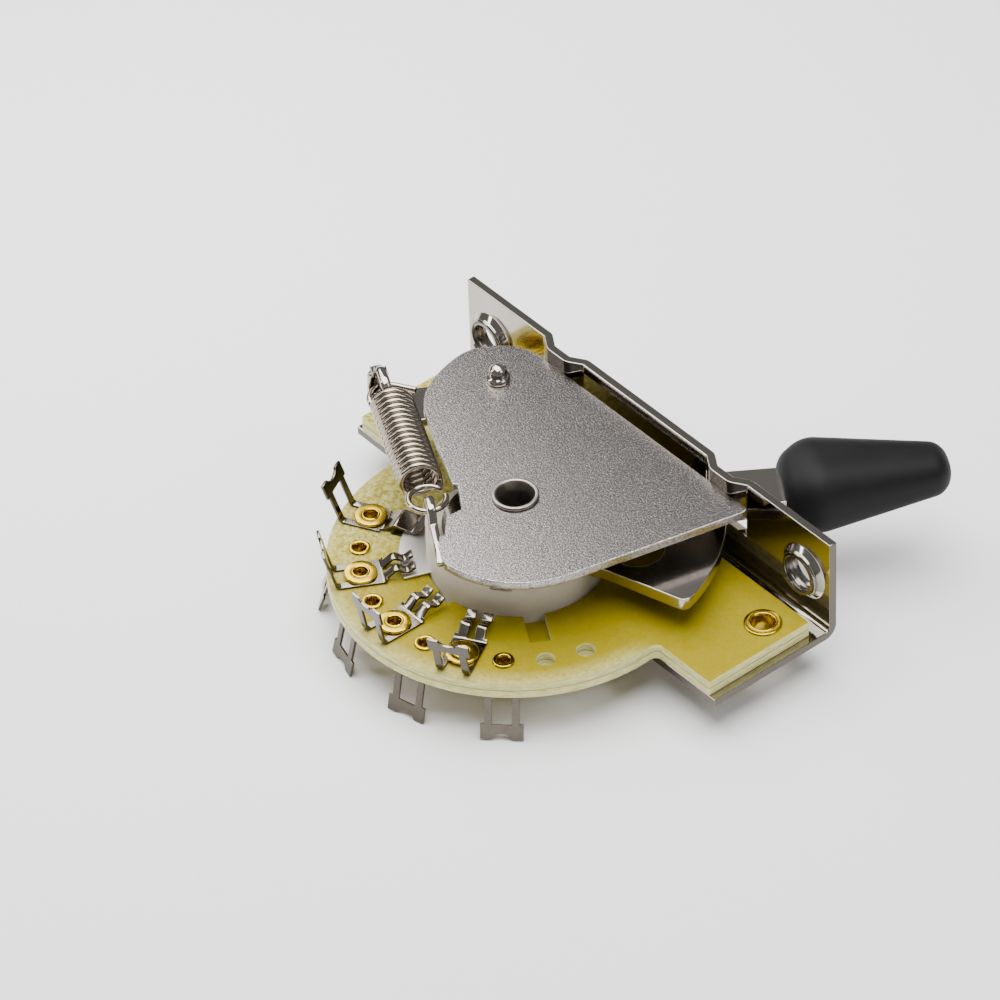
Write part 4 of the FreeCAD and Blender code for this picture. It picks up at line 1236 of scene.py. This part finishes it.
def soft_light(name, place, target, size, energy):
    """Rectangular soft light aimed at a target."""
    data = bpy.data.lights.new(name, "AREA")
    data.shape = "RECTANGLE"
    data.size, data.size_y = size
    data.energy = energy
    lamp = bpy.data.objects.new(name, data)
    bpy.context.scene.collection.objects.link(lamp)
    lamp.location = place
    lamp.rotation_euler = (place - target).to_track_quat("Z", "Y").to_euler()
    return lamp


class LEVERSWITCH_OT_stage(bpy.types.Operator):
    """Pale floor, soft light and the camera"""

    bl_idname = "leverswitch.stage"
    bl_label = "Stage"

    def execute(self, context):
        settings = context.scene.stage_settings
        floor_level = cad_low.z - 0.05 * MM
        half = settings.floor_size / 2
        corners = [(-half, -half), (half, -half), (half, half), (-half, half)]
        mesh = bpy.data.meshes.new("floor")
        mesh.from_pydata([(x, y, floor_level) for x, y in corners], [], [(0, 1, 2, 3)])
        floor = new_piece("floor", mesh)
        material, tree, surface = new_material("Pale floor")
        where = tree.nodes.new("ShaderNodeTexCoord").outputs["Object"]
        tone = spread(tree, noise(tree, where, 6.0, 2.0), 0.3, 0.7, 0.0, 1.0)
        pale = tuple(settings.floor_colour)
        tree.links.new(mix_colour(tree, tone, coloured(pale), coloured(shade(pale, 0.99))),
                       surface.inputs["Base Color"])
        surface.inputs["Roughness"].default_value = 0.9
        surface.inputs["Specular IOR Level"].default_value = 0.1
        floor.data.materials.append(material)
        middle = (cad_low + cad_high) / 2
        camera_place = Vector((0.34104, -0.28767, 0.38323))
        azimuth, elevation, roll = math.radians(51.56), math.radians(41.06), math.radians(-2.27)
        right = level(azimuth)
        back = Vector((math.sin(azimuth) * math.cos(elevation), -math.cos(azimuth) * math.cos(elevation),
                       math.sin(elevation)))
        up = back.cross(right)
        rolled_right = right * math.cos(roll) + up * math.sin(roll)
        rolled_up = up * math.cos(roll) - right * math.sin(roll)
        camera = bpy.data.objects.new("camera", bpy.data.cameras.new("camera"))
        context.scene.collection.objects.link(camera)
        camera.data.lens = settings.lens
        camera.data.sensor_width = 36.0
        camera.data.clip_start, camera.data.clip_end = 0.05, 10.0
        turn = Matrix((rolled_right, rolled_up, back)).transposed()
        camera.matrix_world = Matrix.Translation(camera_place) @ turn.to_4x4()
        context.scene.camera = camera
        mirror = Vector((-back.x, -back.y, back.z))
        nearer = Vector((back.x, back.y, 0)).normalized()
        # Each light's name, its place from the middle of the switch, its size and its power
        for name, offset, size, energy in (
                ("overhead_softbox", Vector((0, 0, 0.5)), (0.5, 0.5), settings.overhead_energy),
                ("back_softbox", mirror * 0.15 - right * 0.052 + nearer * 0.05, (0.09, 0.085),
                 settings.key_energy),
                ("camera_softbox", (back + right * 0.9 + up * 0.3) * 0.4, (0.25, 0.25), settings.fill_energy),
                ("left_strip", (-right + up * 0.45 + back * 0.3) * 0.3, (0.05, 0.2),
                 settings.fill_energy * 0.6)):
            soft_light(name, middle + offset, middle, size, energy)
        world = context.scene.world or bpy.data.worlds.new("World")
        context.scene.world = world
        world.use_nodes = True
        sky = world.node_tree.nodes["Background"]
        sky.inputs["Color"].default_value = (1.0, 1.0, 1.0, 1.0)
        sky.inputs["Strength"].default_value = settings.world_strength
        return {"FINISHED"}


class LEVERSWITCH_PT_panel(bpy.types.Panel):
    """Buttons and sizes of the switch"""

    bl_idname = "LEVERSWITCH_PT_panel"
    bl_label = "Lever Switch"
    bl_space_type = "VIEW_3D"
    bl_region_type = "UI"
    bl_category = "Lever Switch"

    def draw(self, context):
        for operator in operators:
            self.layout.operator(operator.bl_idname)
        for name, group in setting_groups.items():
            box = self.layout.box()
            for label in group.__annotations__:
                box.prop(getattr(context.scene, name), label)


setting_groups = {
    "stamping_settings": StampingSettings,
    "wafer_settings": WaferSettings,
    "eyelet_settings": EyeletSettings,
    "spring_settings": SpringSettings,
    "knob_settings": KnobSettings,
    "thread_settings": ThreadSettings,
    "stage_settings": StageSettings,
}
operators = (
    LEVERSWITCH_OT_bracket, LEVERSWITCH_OT_threads, LEVERSWITCH_OT_cover_plate, LEVERSWITCH_OT_wafer,
    LEVERSWITCH_OT_clips, LEVERSWITCH_OT_eyelets, LEVERSWITCH_OT_pivot, LEVERSWITCH_OT_index_stud,
    LEVERSWITCH_OT_lever, LEVERSWITCH_OT_rotor, LEVERSWITCH_OT_knob, LEVERSWITCH_OT_index_arm,
    LEVERSWITCH_OT_spring, LEVERSWITCH_OT_stage,
)


def register():
    for name, group in setting_groups.items():
        bpy.utils.register_class(group)
        setattr(bpy.types.Scene, name, PointerProperty(type=group))
    for operator in operators:
        bpy.utils.register_class(operator)
    bpy.utils.register_class(LEVERSWITCH_PT_panel)


def unregister():
    bpy.utils.unregister_class(LEVERSWITCH_PT_panel)
    for operator in reversed(operators):
        bpy.utils.unregister_class(operator)
    for name, group in setting_groups.items():
        delattr(bpy.types.Scene, name)
        bpy.utils.unregister_class(group)


def main():
    """Makes every piece in order."""
    register()
    bpy.ops.leverswitch.stage()
    bpy.ops.leverswitch.bracket()
    bpy.ops.leverswitch.threads()
    bpy.ops.leverswitch.cover_plate()
    bpy.ops.leverswitch.wafer()
    bpy.ops.leverswitch.clips()
    bpy.ops.leverswitch.eyelets()
    bpy.ops.leverswitch.pivot()
    bpy.ops.leverswitch.index_stud()
    bpy.ops.leverswitch.lever()
    bpy.ops.leverswitch.rotor()
    bpy.ops.leverswitch.knob()
    bpy.ops.leverswitch.index_arm()
    bpy.ops.leverswitch.spring()


if __name__ == "__main__":
    main()
